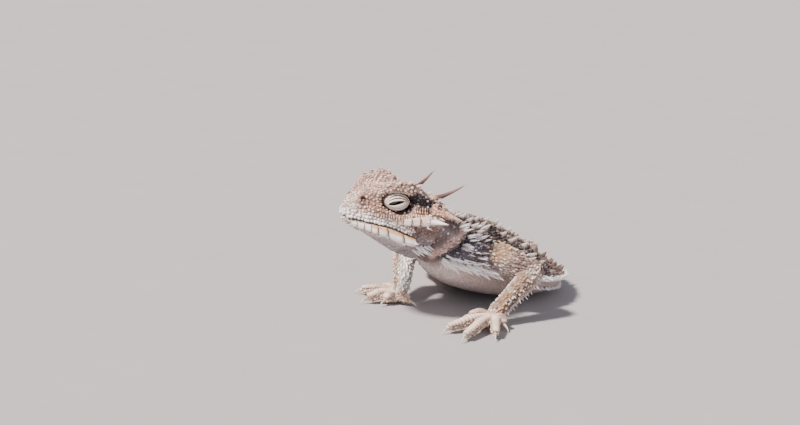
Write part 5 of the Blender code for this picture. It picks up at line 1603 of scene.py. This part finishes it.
    def small_horns(self, side: int) -> list[Surface]:
        """The temporal horns, from beside the great horn down and forward to the cheek, with a collar each."""
        made = []
        for root, tip, width, tone in self.temporal:
            root, tip = np.array(root) * (1, side, 1), np.array(tip) * (1, side, 1)
            way = tip - root
            start = root - unit(way) * 0.5
            size = np.array([[np.linalg.norm(way) + 0.5, width * 0.5, width * 0.42]])
            made.append(repeat(Cell.spine(14, 0.1), self.roots(
                start[None], way[None], np.array([[0, 0, 1.0]]), size, tone,
                Tone.WHITE if tone is Tone.WHITE else Tone.PINK), True))
            turn = np.arange(7) * 2 * math.pi / 7
            over = unit(np.cross(way, (0, 0, 1)))
            up = np.cross(over, unit(way))
            if width > self.rough_width:
                made.append(self.granules(root, way, over, up, width, tone))
            here = root + (np.cos(turn)[:, None] * over + np.sin(turn)[:, None] * up) * width * 0.62
            made.append(repeat(Cell.spine(7), self.roots(
                here, way + (here - root) * 1.2, here - root, np.array([0.75, 0.36, 0.3]),
                blend(flat(tone, 7), Tone.SAND, 0.4), Tone.CREAM), True))
        return made

    def granules(self, root: Array, way: Array, over: Array, up: Array, width: float, tone: Tone) -> Surface:
        """Low granules in rings round the lower part of a horn, smaller towards its tip."""
        draw = np.random.default_rng(SEED + 10)
        t, turn = (grid.ravel() for grid in np.meshgrid(np.linspace(0.02, 0.62, 9), np.arange(11) * 2 * math.pi / 11))
        turn = turn + draw.uniform(-0.25, 0.25, len(turn))
        t = t + draw.uniform(-0.03, 0.03, len(t))
        out = np.cos(turn)[:, None] * over + np.sin(turn)[:, None] * up
        radius = width * 0.46 * (1 - 0.97 * np.clip(t, 0, 1) ** 1.15)
        here = root + way * t[:, None] + out * (radius * np.where(np.abs(np.sin(turn)) > 0.5, 0.85, 1.0))[:, None]
        size = np.array([0.36, 0.26, 0.16]) * ((1 - 0.7 * t) * draw.uniform(0.7, 1.2, len(t)))[:, None]
        tint = blend(flat(tone, len(t)), Tone.BROWN, draw.uniform(-0.5, 0.5, len(t)))
        tint = blend(tint, Tone.CREAM, draw.uniform(-0.4, 0.6, len(t)))
        return repeat(Cell.pebble(0.5), self.roots(here, np.tile(way, (len(t), 1)), out, size, tint, None))

    def cheek(self, side: int) -> list[Surface]:
        """Upright ridged scales between the eye and the row of plates below it."""
        draw = np.random.default_rng(SEED + 7)
        made = []
        for row, (z, low, high) in enumerate(((-2.0, 1.7, 6.4), (-2.75, 1.9, 6.4), (-3.5, 1.6, 8.5), (-4.2, 4.8, 13.0))):
            x = np.arange(low, high, 0.5) + 0.25 * (row % 2) + draw.uniform(-0.07, 0.07, len(np.arange(low, high, 0.5)))
            lid = self.markings.skin.eye
            x = x[np.hypot((x - lid.lid_x) / lid.lid_length, (z - lid.lid_z) / lid.lid_height) > 1.3]
            here, out = self.wall(x, np.full(len(x), z) - 0.035 * (x - 3.2), side, 0.2)
            tint = self.markings.on_head(self.head.out(here), Samples.of(here, here, x, x, 0), out)
            tint = blend(tint, Tone.PEACH, draw.uniform(0.1, 0.6, len(x)) * (row > 0))
            tint = blend(tint, Tone.CREAM, draw.uniform(-0.6, 0.7, len(x))) * draw.uniform(0.75, 1.1, (len(x), 1))
            size = np.tile([0.72, 0.27, 0.45], (len(x), 1)) * draw.uniform(0.8, 1.2, (len(x), 1))
            made.append(repeat(Cell.leaf(0.25), self.roots(here, np.tile([-0.12, 0, -1.0], (len(x), 1)), out, size,
                                                       tint, None)))
        return made

    def brow_edge(self, side: int) -> list[Surface]:
        """The ridge over the eye: overlapping pale scales, its spines, and the bosses of the crown."""
        x = np.linspace(12.6, 4.2, 17)
        here = self.head.side(x, 1.45, side, -0.15)
        out = np.tile([0, side * 0.9, 0.45], (17, 1))
        size = np.tile([0.4, 0.26, 0.34], (17, 1)) * (1 + 0.2 * np.sin(np.arange(17) * 2.1))[:, None]
        tone = blend(self.markings.on_head(self.head.out(here), Samples.of(here, here, x, x, 0), out), Tone.CREAM, 0.35)
        made = [repeat(Cell.plate(), self.roots(here, np.tile([-1.0, 0, 0.15], (17, 1)), out, size, tone, None))]
        places = np.array([row[0] for row in self.brow])
        spans = np.array([(length, width * 0.5, width * 0.45) for _, length, width in self.brow])
        here = self.head.side(places, 1, side, -0.6)
        way = np.tile([-0.5, side * 0.75, 0.6], (4, 1))
        made.append(repeat(Cell.spine(10), self.roots(here, way, np.tile([0, 0, 1.0], (4, 1)),
                                                      spans + (0.35, 0, 0), Tone.SAND, Tone.CREAM), True))
        x, y = np.array(self.crown).T
        lefts, ups = self.head.outline(x)
        z = np.array([np.interp(b, left[:2], up[:2]) for b, left, up in zip(y, lefts, ups)])
        here = np.stack([x, side * y, z - 0.75], axis=1)
        made.append(repeat(Cell.spine(9, 0.1), self.roots(
            here, np.tile([-0.45, side * 0.15, 0.85], (5, 1)), np.tile([0.85, 0, 0.45], (5, 1)),
            np.array([1.25, 0.5, 0.5]), blend(flat(Tone.PINK, 5), Tone.SAND, 0.4), Tone.CREAM), True))
        return made

    def build(self) -> Surface:
        """All plates of both sides, and the spine in the middle of the nape."""
        made = []
        for side in (1, -1):
            for kind in (self.lips, self.jaw_spikes, self.shelf, self.small_horns, self.cheek, self.brow_edge):
                made += kind(side)
        made.append(repeat(Cell.spine(10), self.roots(
            np.array([[-1.0, 0.0, -0.6]]), np.array([[-0.8, 0, 0.6]]), np.array([[0, 0, 1.0]]),
            np.array([[1.7, 0.7, 0.6]]), Tone.SAND, Tone.CREAM), True))
        return Surface.join(made)


# Eyes, lids, horns and claws


@dataclass
class Eyes:
    """The eyeballs and the heavy lids that leave a slit between them."""

    head: Head
    place: EyePlace

    def ball(self, side: int) -> Surface:
        """The eyeball: a sphere with its pole outwards, dark pupil, brown iris and a darker white."""
        around, down = np.arange(48) * 2 * math.pi / 48, np.linspace(0.02, math.pi - 0.02, 33)
        local = np.stack(np.broadcast_arrays(
            np.sin(down)[:, None] * np.cos(around), side * np.cos(down)[:, None],
            side * np.sin(down)[:, None] * np.sin(around)), axis=-1) * self.place.radius
        surface = tube(self.head.out(local + (self.place.x, side * self.place.y, self.place.z)))
        angle = np.append(np.repeat(down, 48), (0.0, math.pi))
        tint = blend(flat(Tone.BROWN, len(angle)) * 0.16, Tone.CHARCOAL, 0.3)
        iris = bump(angle, 0.62, 0.16)
        tint = blend(tint, Tone.OCHRE, 0.14 * iris)
        surface.tint = tint * ramp(angle, 0.3, 0.5)[:, None] + 0.002
        return surface

    def lid(self, side: int) -> Surface:
        """Both lids as one sheet round the slit.

        The sheet runs from inside the slit over its edge to the rim of the orbit. Its outline turns from the
        slit's almond to an ellipse, its height is a half ellipsoid's, raised in a lip at the slit, in two folds
        on the upper lid and in one on the lower.

        Args:
            side: 1 for the left, -1 for the right.

        Returns:
            The sheet.
        """
        p = self.place
        around = np.arange(112) * 2 * math.pi / 112
        v = np.concatenate([[-0.18, -0.12, -0.06], np.linspace(0, 1, 44), [1.05, 1.12]])[:, None]
        t = np.clip(v, 0, 1)
        along, high = np.cos(around), np.sin(around)
        slit_high = np.sign(high) * np.abs(high) ** 1.2 * p.slit_height / 2 * (1 + 0.45 * along)
        slit = np.stack([along * p.slit_length / 2 * math.cos(p.tilt) + slit_high * math.sin(p.tilt),
                         slit_high * math.cos(p.tilt) - along * p.slit_length / 2 * math.sin(p.tilt)], axis=-1)
        slit = slit + (0.6, 0.0)
        rim = np.stack([along * p.lid_length, np.sign(high) * np.abs(high) ** 1.18 * p.lid_height], axis=-1)
        share = np.maximum(v, 0)[..., None] ** 0.95
        plane = slit * (1 - share) + rim * share
        away = np.hypot(plane[..., 0] / p.lid_length, plane[..., 1] / p.lid_height)
        rise = p.lid_base + p.lid_rise * np.sqrt(np.maximum(1 - away**2, 0)) - 5.0 * np.maximum(v - 1, 0)
        upper = ramp(high, -0.12, 0.25)[None]
        fold = (0.26 * bump(t, 0.1, 0.09) - 0.3 * bump(t, 0.33, 0.05) + 0.22 * bump(t, 0.46, 0.08)
                - 0.34 * bump(t, 0.65, 0.05) + 0.26 * bump(t, 0.79, 0.08) - 0.15 * bump(t, 0.94, 0.04))
        low_fold = 0.24 * bump(t, 0.16, 0.17) - 0.14 * bump(t, 0.5, 0.06) + 0.08 * bump(t, 0.64, 0.1)
        rise = rise + upper * fold + (1 - upper) * low_fold - 3.4 * np.maximum(-v, 0)
        rise = rise + 0.025 * np.cos(around * 34) * np.cos(t * 44) * ramp(t, 0.12, 0.3)
        local = np.stack([plane[..., 0] + p.lid_x, side * (rise + p.y), plane[..., 1] + p.lid_z], axis=-1)
        points = self.head.out(local[:, ::side])
        surface = Surface(points.reshape(-1, 3), [grid_faces(len(v), 112, True)])
        upper = np.broadcast_to(upper[:, ::side], points.shape[:2]).ravel()
        t = np.broadcast_to(t, points.shape[:2]).ravel()
        tint = blend(flat(Tone.LID_LOW, upper.size), Tone.LID, upper)
        # Painted shade: brown in the valleys of the folds and towards the orbit's rim on both lids.
        dark = 0.75 * bump(t, 0.33, 0.055) + 0.95 * bump(t, 0.65, 0.055) + 0.9 * ramp(t, 0.9, 0.97)
        tint = blend(tint, Tone.BROWN, upper * dark)
        tint = blend(tint, Tone.BROWN, (1 - upper) * (0.5 * bump(t, 0.5, 0.05) + 0.9 * ramp(t, 0.7, 0.9)))
        # Painted shade: charcoal where the sheet turns into the slit, and brown over the lids' lower rear.
        inner = np.broadcast_to(ramp(v, 0.02, -0.06), points.shape[:2]).ravel()
        shade = ramp(-0.75 * (plane[..., 0]) - 0.65 * plane[..., 1], 1.1, 2.2)[:, ::side].ravel()
        surface.tint = blend(blend(tint, Tone.BROWN, 0.5 * shade), Tone.CHARCOAL, 0.95 * inner)
        return surface


@dataclass
class Horns:
    """The two great horns at the back of the head."""

    head: Head
    root: tuple[float, float, float] = (1.0, 3.9, -1.0)
    tip: tuple[float, float, float] = (-5.9, 6.9, 4.0)
    radius: float = 1.1
    waist: float = 0.62
    sag: float = 0.45

    def build(self, side: int) -> Surface:
        """One horn: rings along a line that sags as 4t(1-t).

        The radius falls from a broad foot to its waist as a bell, and from there as one less 0.93 t.

        Fine growth rings ripple the radius, and long ribs fade towards the tip.

        Args:
            side: 1 for the left, -1 for the right.

        Returns:
            The closed tube with its colours.
        """
        mirror = np.array([1, side, 1])
        root, tip = np.array(self.root) * mirror, np.array(self.tip) * mirror
        t = np.linspace(0, 1, 60)[:, None]
        line = root + (tip - root) * t - np.array([0, 0, 1.0]) * self.sag * 4 * t * (1 - t)
        ahead = unit(np.gradient(line, axis=0))
        over = unit(np.cross(ahead, (0, 0, 1.0)))
        up = np.cross(over, ahead)
        angle = np.arange(32) * 2 * math.pi / 32
        radius = (self.waist + (self.radius - self.waist) * bump(t, 0, 0.22)) * (1 - 0.9 * t**1.3)
        radius = radius * (1 + 0.025 * np.sin(t * 95) * (1 - t) + 0.03 * np.cos(angle * 8)[None] * (1 - t))
        rings = line[:, None] + radius[..., None] * (
            np.cos(angle)[None, :, None] * over[:, None] + np.sin(angle)[None, :, None] * up[:, None])
        surface = tube(self.head.out(rings))
        share = np.append(np.repeat(t[:, 0], 32), (0.0, 1.0))
        tint = blend(flat(Tone.PEACH, len(share)), Tone.HORN, ramp(share, 0.12, 0.34))
        tint = blend(tint, Tone.HORN_MIDDLE, ramp(share, 0.4, 0.75))
        tint = blend(tint, Tone.CREAM, 0.6 * ramp(share, 0.85, 1.0))
        surface.tint = tint * (1 + 0.12 * np.sin(share * 95))[:, None]
        return surface


@dataclass
class Claws:
    """The claws of all digits."""

    legs: list[Limb]
    radius: float = 0.42

    def build(self) -> Surface:
        """Each claw is a cone that hooks down, its radius falling as one less 0.92 t to the 1.1."""
        made = []
        t = np.linspace(0, 1, 9)[:, None]
        angle = np.arange(10) * 2 * math.pi / 10
        for leg in self.legs:
            for root, tip in leg.claws():
                line = root + (tip - root) * t + np.array([0, 0, 1.0]) * 0.3 * 4 * t * (1 - t)
                ahead = unit(np.gradient(line, axis=0))
                over = unit(np.cross(ahead, (0, 0, 1.0)))
                up = np.cross(over, ahead)
                radius = self.radius * (1 - 0.92 * t**1.1)
                rings = line[:, None] + radius[..., None] * (
                    np.cos(angle)[None, :, None] * over[:, None] * 0.75 + np.sin(angle)[None, :, None] * up[:, None])
                rings[..., 2] = np.maximum(rings[..., 2], 0.03)
                surface = tube(rings)
                share = np.append(np.repeat(t[:, 0], 10), (0.0, 1.0))
                surface.tint = blend(flat(Tone.CLAW, len(share)), Tone.BROWN, 0.45 * bump(share, 0.35, 0.25))
                made.append(surface)
        return Surface.join(made)


@dataclass
class Toes:
    """The broad scales that lie across the top of each digit."""

    legs: list[Limb]
    count: int = 14

    def build(self) -> Surface:
        """Pillows side by side along each digit's line, as wide as the digit and half as long as their spacing."""
        made, draw = [], np.random.default_rng(SEED + 9)
        share = np.linspace(0.05, 0.98, self.count)
        for leg in self.legs:
            for i in range(5):
                line, radii = leg.digit_line(i)
                at = np.linspace(0, 1, len(line))
                points = np.stack([smooth(share, at, line[:, k]) for k in range(3)], axis=1)
                ahead = unit(np.gradient(points, axis=0))
                out = unit(np.cross(np.cross(ahead, (0, 0, 1.0)), ahead))
                radius = smooth(share, at, radii)[:, None]
                step = np.linalg.norm(points[-1] - points[0]) / (self.count - 1)
                size = np.concatenate([np.full((self.count, 1), step * 0.58), radius * 0.82, radius * 0.38], axis=1)
                info = Samples.of(points, ahead, share, np.full(self.count, 0.25), leg.first_part + 2)
                tint = blend(flat(Tone.TOE, self.count), Tone.CREAM, draw.uniform(0.0, 0.6, self.count))
                tint = tint * draw.uniform(0.82, 1.05, (self.count, 1))
                made.append(repeat(Cell.plate(0.35), Roots(points + out * radius * 0.72, ahead, out, size, tint, info)))
        return Surface.join(made)


# Finishes


def add(tree: bpy.types.NodeTree, kind: str, inputs: dict | None = None, **settings: object) -> bpy.types.Node:
    """Adds a node to a tree.

    Args:
        tree: where to.
        kind: the node's type.
        inputs: for each input a value, or the output socket that feeds it.
        settings: properties of the node.

    Returns:
        The node.
    """
    node = tree.nodes.new(kind)
    for name, value in settings.items():
        setattr(node, name, value)
    for name, value in (inputs or {}).items():
        if isinstance(value, bpy.types.NodeSocket):
            tree.links.new(value, node.inputs[name])
        else:
            node.inputs[name].default_value = value
    return node


@dataclass(frozen=True)
class Finish:
    """A surface whose colour comes from the tint attribute, broken by grain, with its own gloss and relief."""

    name: str
    roughness: float
    grain_mm: float
    grain_amount: float
    relief_mm: float
    gloss: float = 0.5
    coat: float = 0.0

    def build(self) -> bpy.types.Material:
        """The material: tint darkened and lightened by noise at the grain's size, roughness and bump from it."""
        material = bpy.data.materials.new(self.name)
        material.use_nodes = True
        tree = material.node_tree
        shader = tree.nodes["Principled BSDF"]
        place = add(tree, "ShaderNodeTexCoord").outputs["Object"]
        tint = add(tree, "ShaderNodeAttribute", attribute_name="tint").outputs["Color"]
        fine = add(tree, "ShaderNodeTexNoise", {"Vector": place, "Scale": 1000 / self.grain_mm, "Detail": 3.0})
        wide = add(tree, "ShaderNodeTexNoise", {"Vector": place, "Scale": 1000 / (self.grain_mm * 9), "Detail": 2.0})
        both = add(tree, "ShaderNodeMath", {0: fine.outputs["Fac"], 1: wide.outputs["Fac"]}, operation="ADD")
        light = add(tree, "ShaderNodeMapRange", {
            "Value": both.outputs[0], "From Min": 0.6, "From Max": 1.4,
            "To Min": 1 - self.grain_amount, "To Max": 1 + self.grain_amount})
        shade = add(tree, "ShaderNodeVectorMath", {0: tint, "Scale": light.outputs[0]}, operation="SCALE")
        rough = add(tree, "ShaderNodeMapRange", {
            "Value": fine.outputs["Fac"], "From Min": 0.3, "From Max": 0.7,
            "To Min": self.roughness - 0.08, "To Max": self.roughness + 0.1})
        bump_node = add(tree, "ShaderNodeBump", {
            "Height": fine.outputs["Fac"], "Strength": 0.6, "Distance": self.relief_mm * MM})
        tree.links.new(shade.outputs[0], shader.inputs["Base Color"])
        tree.links.new(rough.outputs[0], shader.inputs["Roughness"])
        tree.links.new(bump_node.outputs[0], shader.inputs["Normal"])
        shader.inputs["Specular IOR Level"].default_value = self.gloss
        shader.inputs["Coat Weight"].default_value = self.coat
        shader.inputs["Coat Roughness"].default_value = 0.06
        return material


# Dermis between the scales: matt, its tint darkened by painted shade between the scales and in the folds, with a
# leathery grain of a quarter of a millimetre.
HIDE = Finish("dry reptile hide", 0.68, 0.28, 0.16, 0.05, 0.35)
# Keratin scales: dry and satin, each with a faint grain that breaks up its shine.
SCALE = Finish("keratin scale", 0.55, 0.2, 0.14, 0.02, 0.45)
# Pale spines: harder and smoother keratin, with a soft shine along their ridges.
SPINE = Finish("keratin spine", 0.45, 0.25, 0.1, 0.015, 0.5)
# Horn and claw: polished by wear, with growth rings and a low gloss.
HORN = Finish("horn sheath", 0.42, 0.3, 0.18, 0.03, 0.5)
# Lids: thin, soft, moist-looking skin.
LID = Finish("eyelid skin", 0.5, 0.22, 0.1, 0.02, 0.5)
# Eye: a wet cornea over a dark iris.
EYE = Finish("wet eye", 0.12, 0.3, 0.1, 0.001, 0.6, 1.0)


@dataclass
class Studio:
    """The camera at the photograph's angle, soft light and a plain pale floor."""

    azimuth: float = math.radians(33)
    elevation: float = math.radians(13)
    roll: float = math.radians(5)
    distance: float = 320.0
    lens: float = 69.7
    head_at: tuple[float, float, float] = (-1.5, -10.5, 26.0)
    head_place: tuple[float, float] = (4.669, 4.132)

    def camera(self) -> None:
        """Stands the camera so that the head falls where it does in the photograph."""
        az, el = self.azimuth, self.elevation
        right = np.array([math.cos(az), math.sin(az), 0.0])
        over = np.array([-math.sin(el) * math.sin(az), math.sin(el) * math.cos(az), math.cos(el)])
        back = np.array([math.cos(el) * math.sin(az), -math.cos(el) * math.cos(az), math.sin(el)])
        r = math.cos(self.roll) * right + math.sin(self.roll) * over
        u = -math.sin(self.roll) * right + math.cos(self.roll) * over
        target = np.array(self.head_at) - self.head_place[0] * r - self.head_place[1] * u
        place = (target + back * self.distance - ORIGIN) * MM
        data = bpy.data.cameras.new("camera")
        data.lens, data.sensor_width, data.clip_start, data.clip_end = self.lens, 36.0, 0.01, 20.0
        camera = bpy.data.objects.new("camera", data)
        matrix = Matrix.Identity(4)
        for column, axis in enumerate((r, u, back, place)):
            for row in range(3):
                matrix[row][column] = axis[row]
        camera.matrix_world = matrix
        bpy.context.scene.collection.objects.link(camera)
        bpy.context.scene.camera = camera

    def lamp(self, name: str, way: tuple[float, float, float], strength: float, spread: float, code: str) -> None:
        """A sun lamp that shines along a way, softened by its spread in degrees."""
        data = bpy.data.lights.new(name, "SUN")
        data.energy, data.angle, data.color = strength, math.radians(spread), linear(code)
        lamp = bpy.data.objects.new(name, data)
        lamp.rotation_mode = "QUATERNION"
        lamp.rotation_quaternion = to_way(way)
        bpy.context.scene.collection.objects.link(lamp)

    def lights(self) -> None:
        """A soft key from above and camera left, a weaker fill from camera right, and a pale sky."""
        self.lamp("key", (0.32, 0.75, -0.9), 9.0, 7, "#FFF0E9")
        self.lamp("fill", (-0.9, 0.5, -0.45), 0.6, 60, "#EAE8FF")
        world = bpy.data.worlds.new("sky")
        world.use_nodes = True
        world.node_tree.nodes["Background"].inputs["Color"].default_value = (*linear("#E2DFE8"), 1)
        world.node_tree.nodes["Background"].inputs["Strength"].default_value = 0.45
        bpy.context.scene.world = world

    def floor(self) -> None:
        """A pale matt floor three metres to each side."""
        mesh = bpy.data.meshes.new("floor")
        mesh.from_pydata([(-3, -3, 0), (3, -3, 0), (3, 3, 0), (-3, 3, 0)], [], [(0, 1, 2, 3)])
        material = bpy.data.materials.new("matt studio paper")
        material.use_nodes = True
        tree = material.node_tree
        place = add(tree, "ShaderNodeTexCoord").outputs["Object"]
        noise = add(tree, "ShaderNodeTexNoise", {"Vector": place, "Scale": 60.0, "Detail": 4.0})
        shade = add(tree, "ShaderNodeMapRange", {"Value": noise.outputs["Fac"], "To Min": 0.4, "To Max": 0.44})
        tree.links.new(shade.outputs[0], tree.nodes["Principled BSDF"].inputs["Base Color"])
        tree.nodes["Principled BSDF"].inputs["Roughness"].default_value = 0.9
        mesh.materials.append(material)
        floor = bpy.data.objects.new("floor", mesh)
        bpy.context.scene.collection.objects.link(floor)


def to_way(way: tuple[float, float, float]) -> object:
    """The turn that brings a lamp's own way, straight down, to a way given."""
    return Vector(way).normalized().to_track_quat("-Z", "Y")


def main() -> None:
    """Builds the animal piece by piece, dresses it and sets up the studio."""
    logging.basicConfig(level=logging.INFO, format="%(name)s %(message)s")
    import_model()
    head, trunk, legs, place = Head(), Trunk(), limbs(), EyePlace()
    skin = Skin(head, trunk, legs, place)
    markings = Markings(head, skin)
    surface, info, out = skin.build()
    # The skin's colour carries the painted shade between the scales from gaps().
    surface.tint = np.clip(markings.of(surface.points, info, out) * markings.gaps(surface.points, info)[:, None], 0, 1)
    surface.chart = chart_place(info)
    scale = SCALE.build()
    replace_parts(publish("skin", surface, HIDE.build()), *FLESH)
    for name, piece in Coat(surface, info, out, markings, head, place).pieces().items():
        publish(name, piece, scale)
    spines, pale = Spines(head, trunk, legs, markings), SPINE.build()
    for name, pieces in (("spines_back", spines.back()), ("spines_flanks", spines.fringes()),
                         ("spines_neck", spines.neck()), ("spines_tail", spines.tail()),
                         ("spines_legs", spines.rows_of_legs())):
        publish(name, Surface.join(pieces), pale)
    publish("scales_toes", Toes(legs).build(), scale)
    publish("plates_head", Plates(head, markings).build(), pale)
    eyes, horns, lid = Eyes(head, place), Horns(head), LID.build()
    horn, wet = HORN.build(), EYE.build()
    for side, word in ((1, "left"), (-1, "right")):
        publish(f"lids_{word}", eyes.lid(side), lid)
        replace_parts(publish(f"eyeball_{word}", eyes.ball(side), wet), f"eye_{word}")
        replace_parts(publish(f"great_horn_{word}", horns.build(side), horn), f"horn_{word}")
    publish("claws", Claws(legs).build(), horn)
    studio = Studio()
    studio.camera()
    studio.lights()
    studio.floor()


if __name__ == "__main__":
    main()
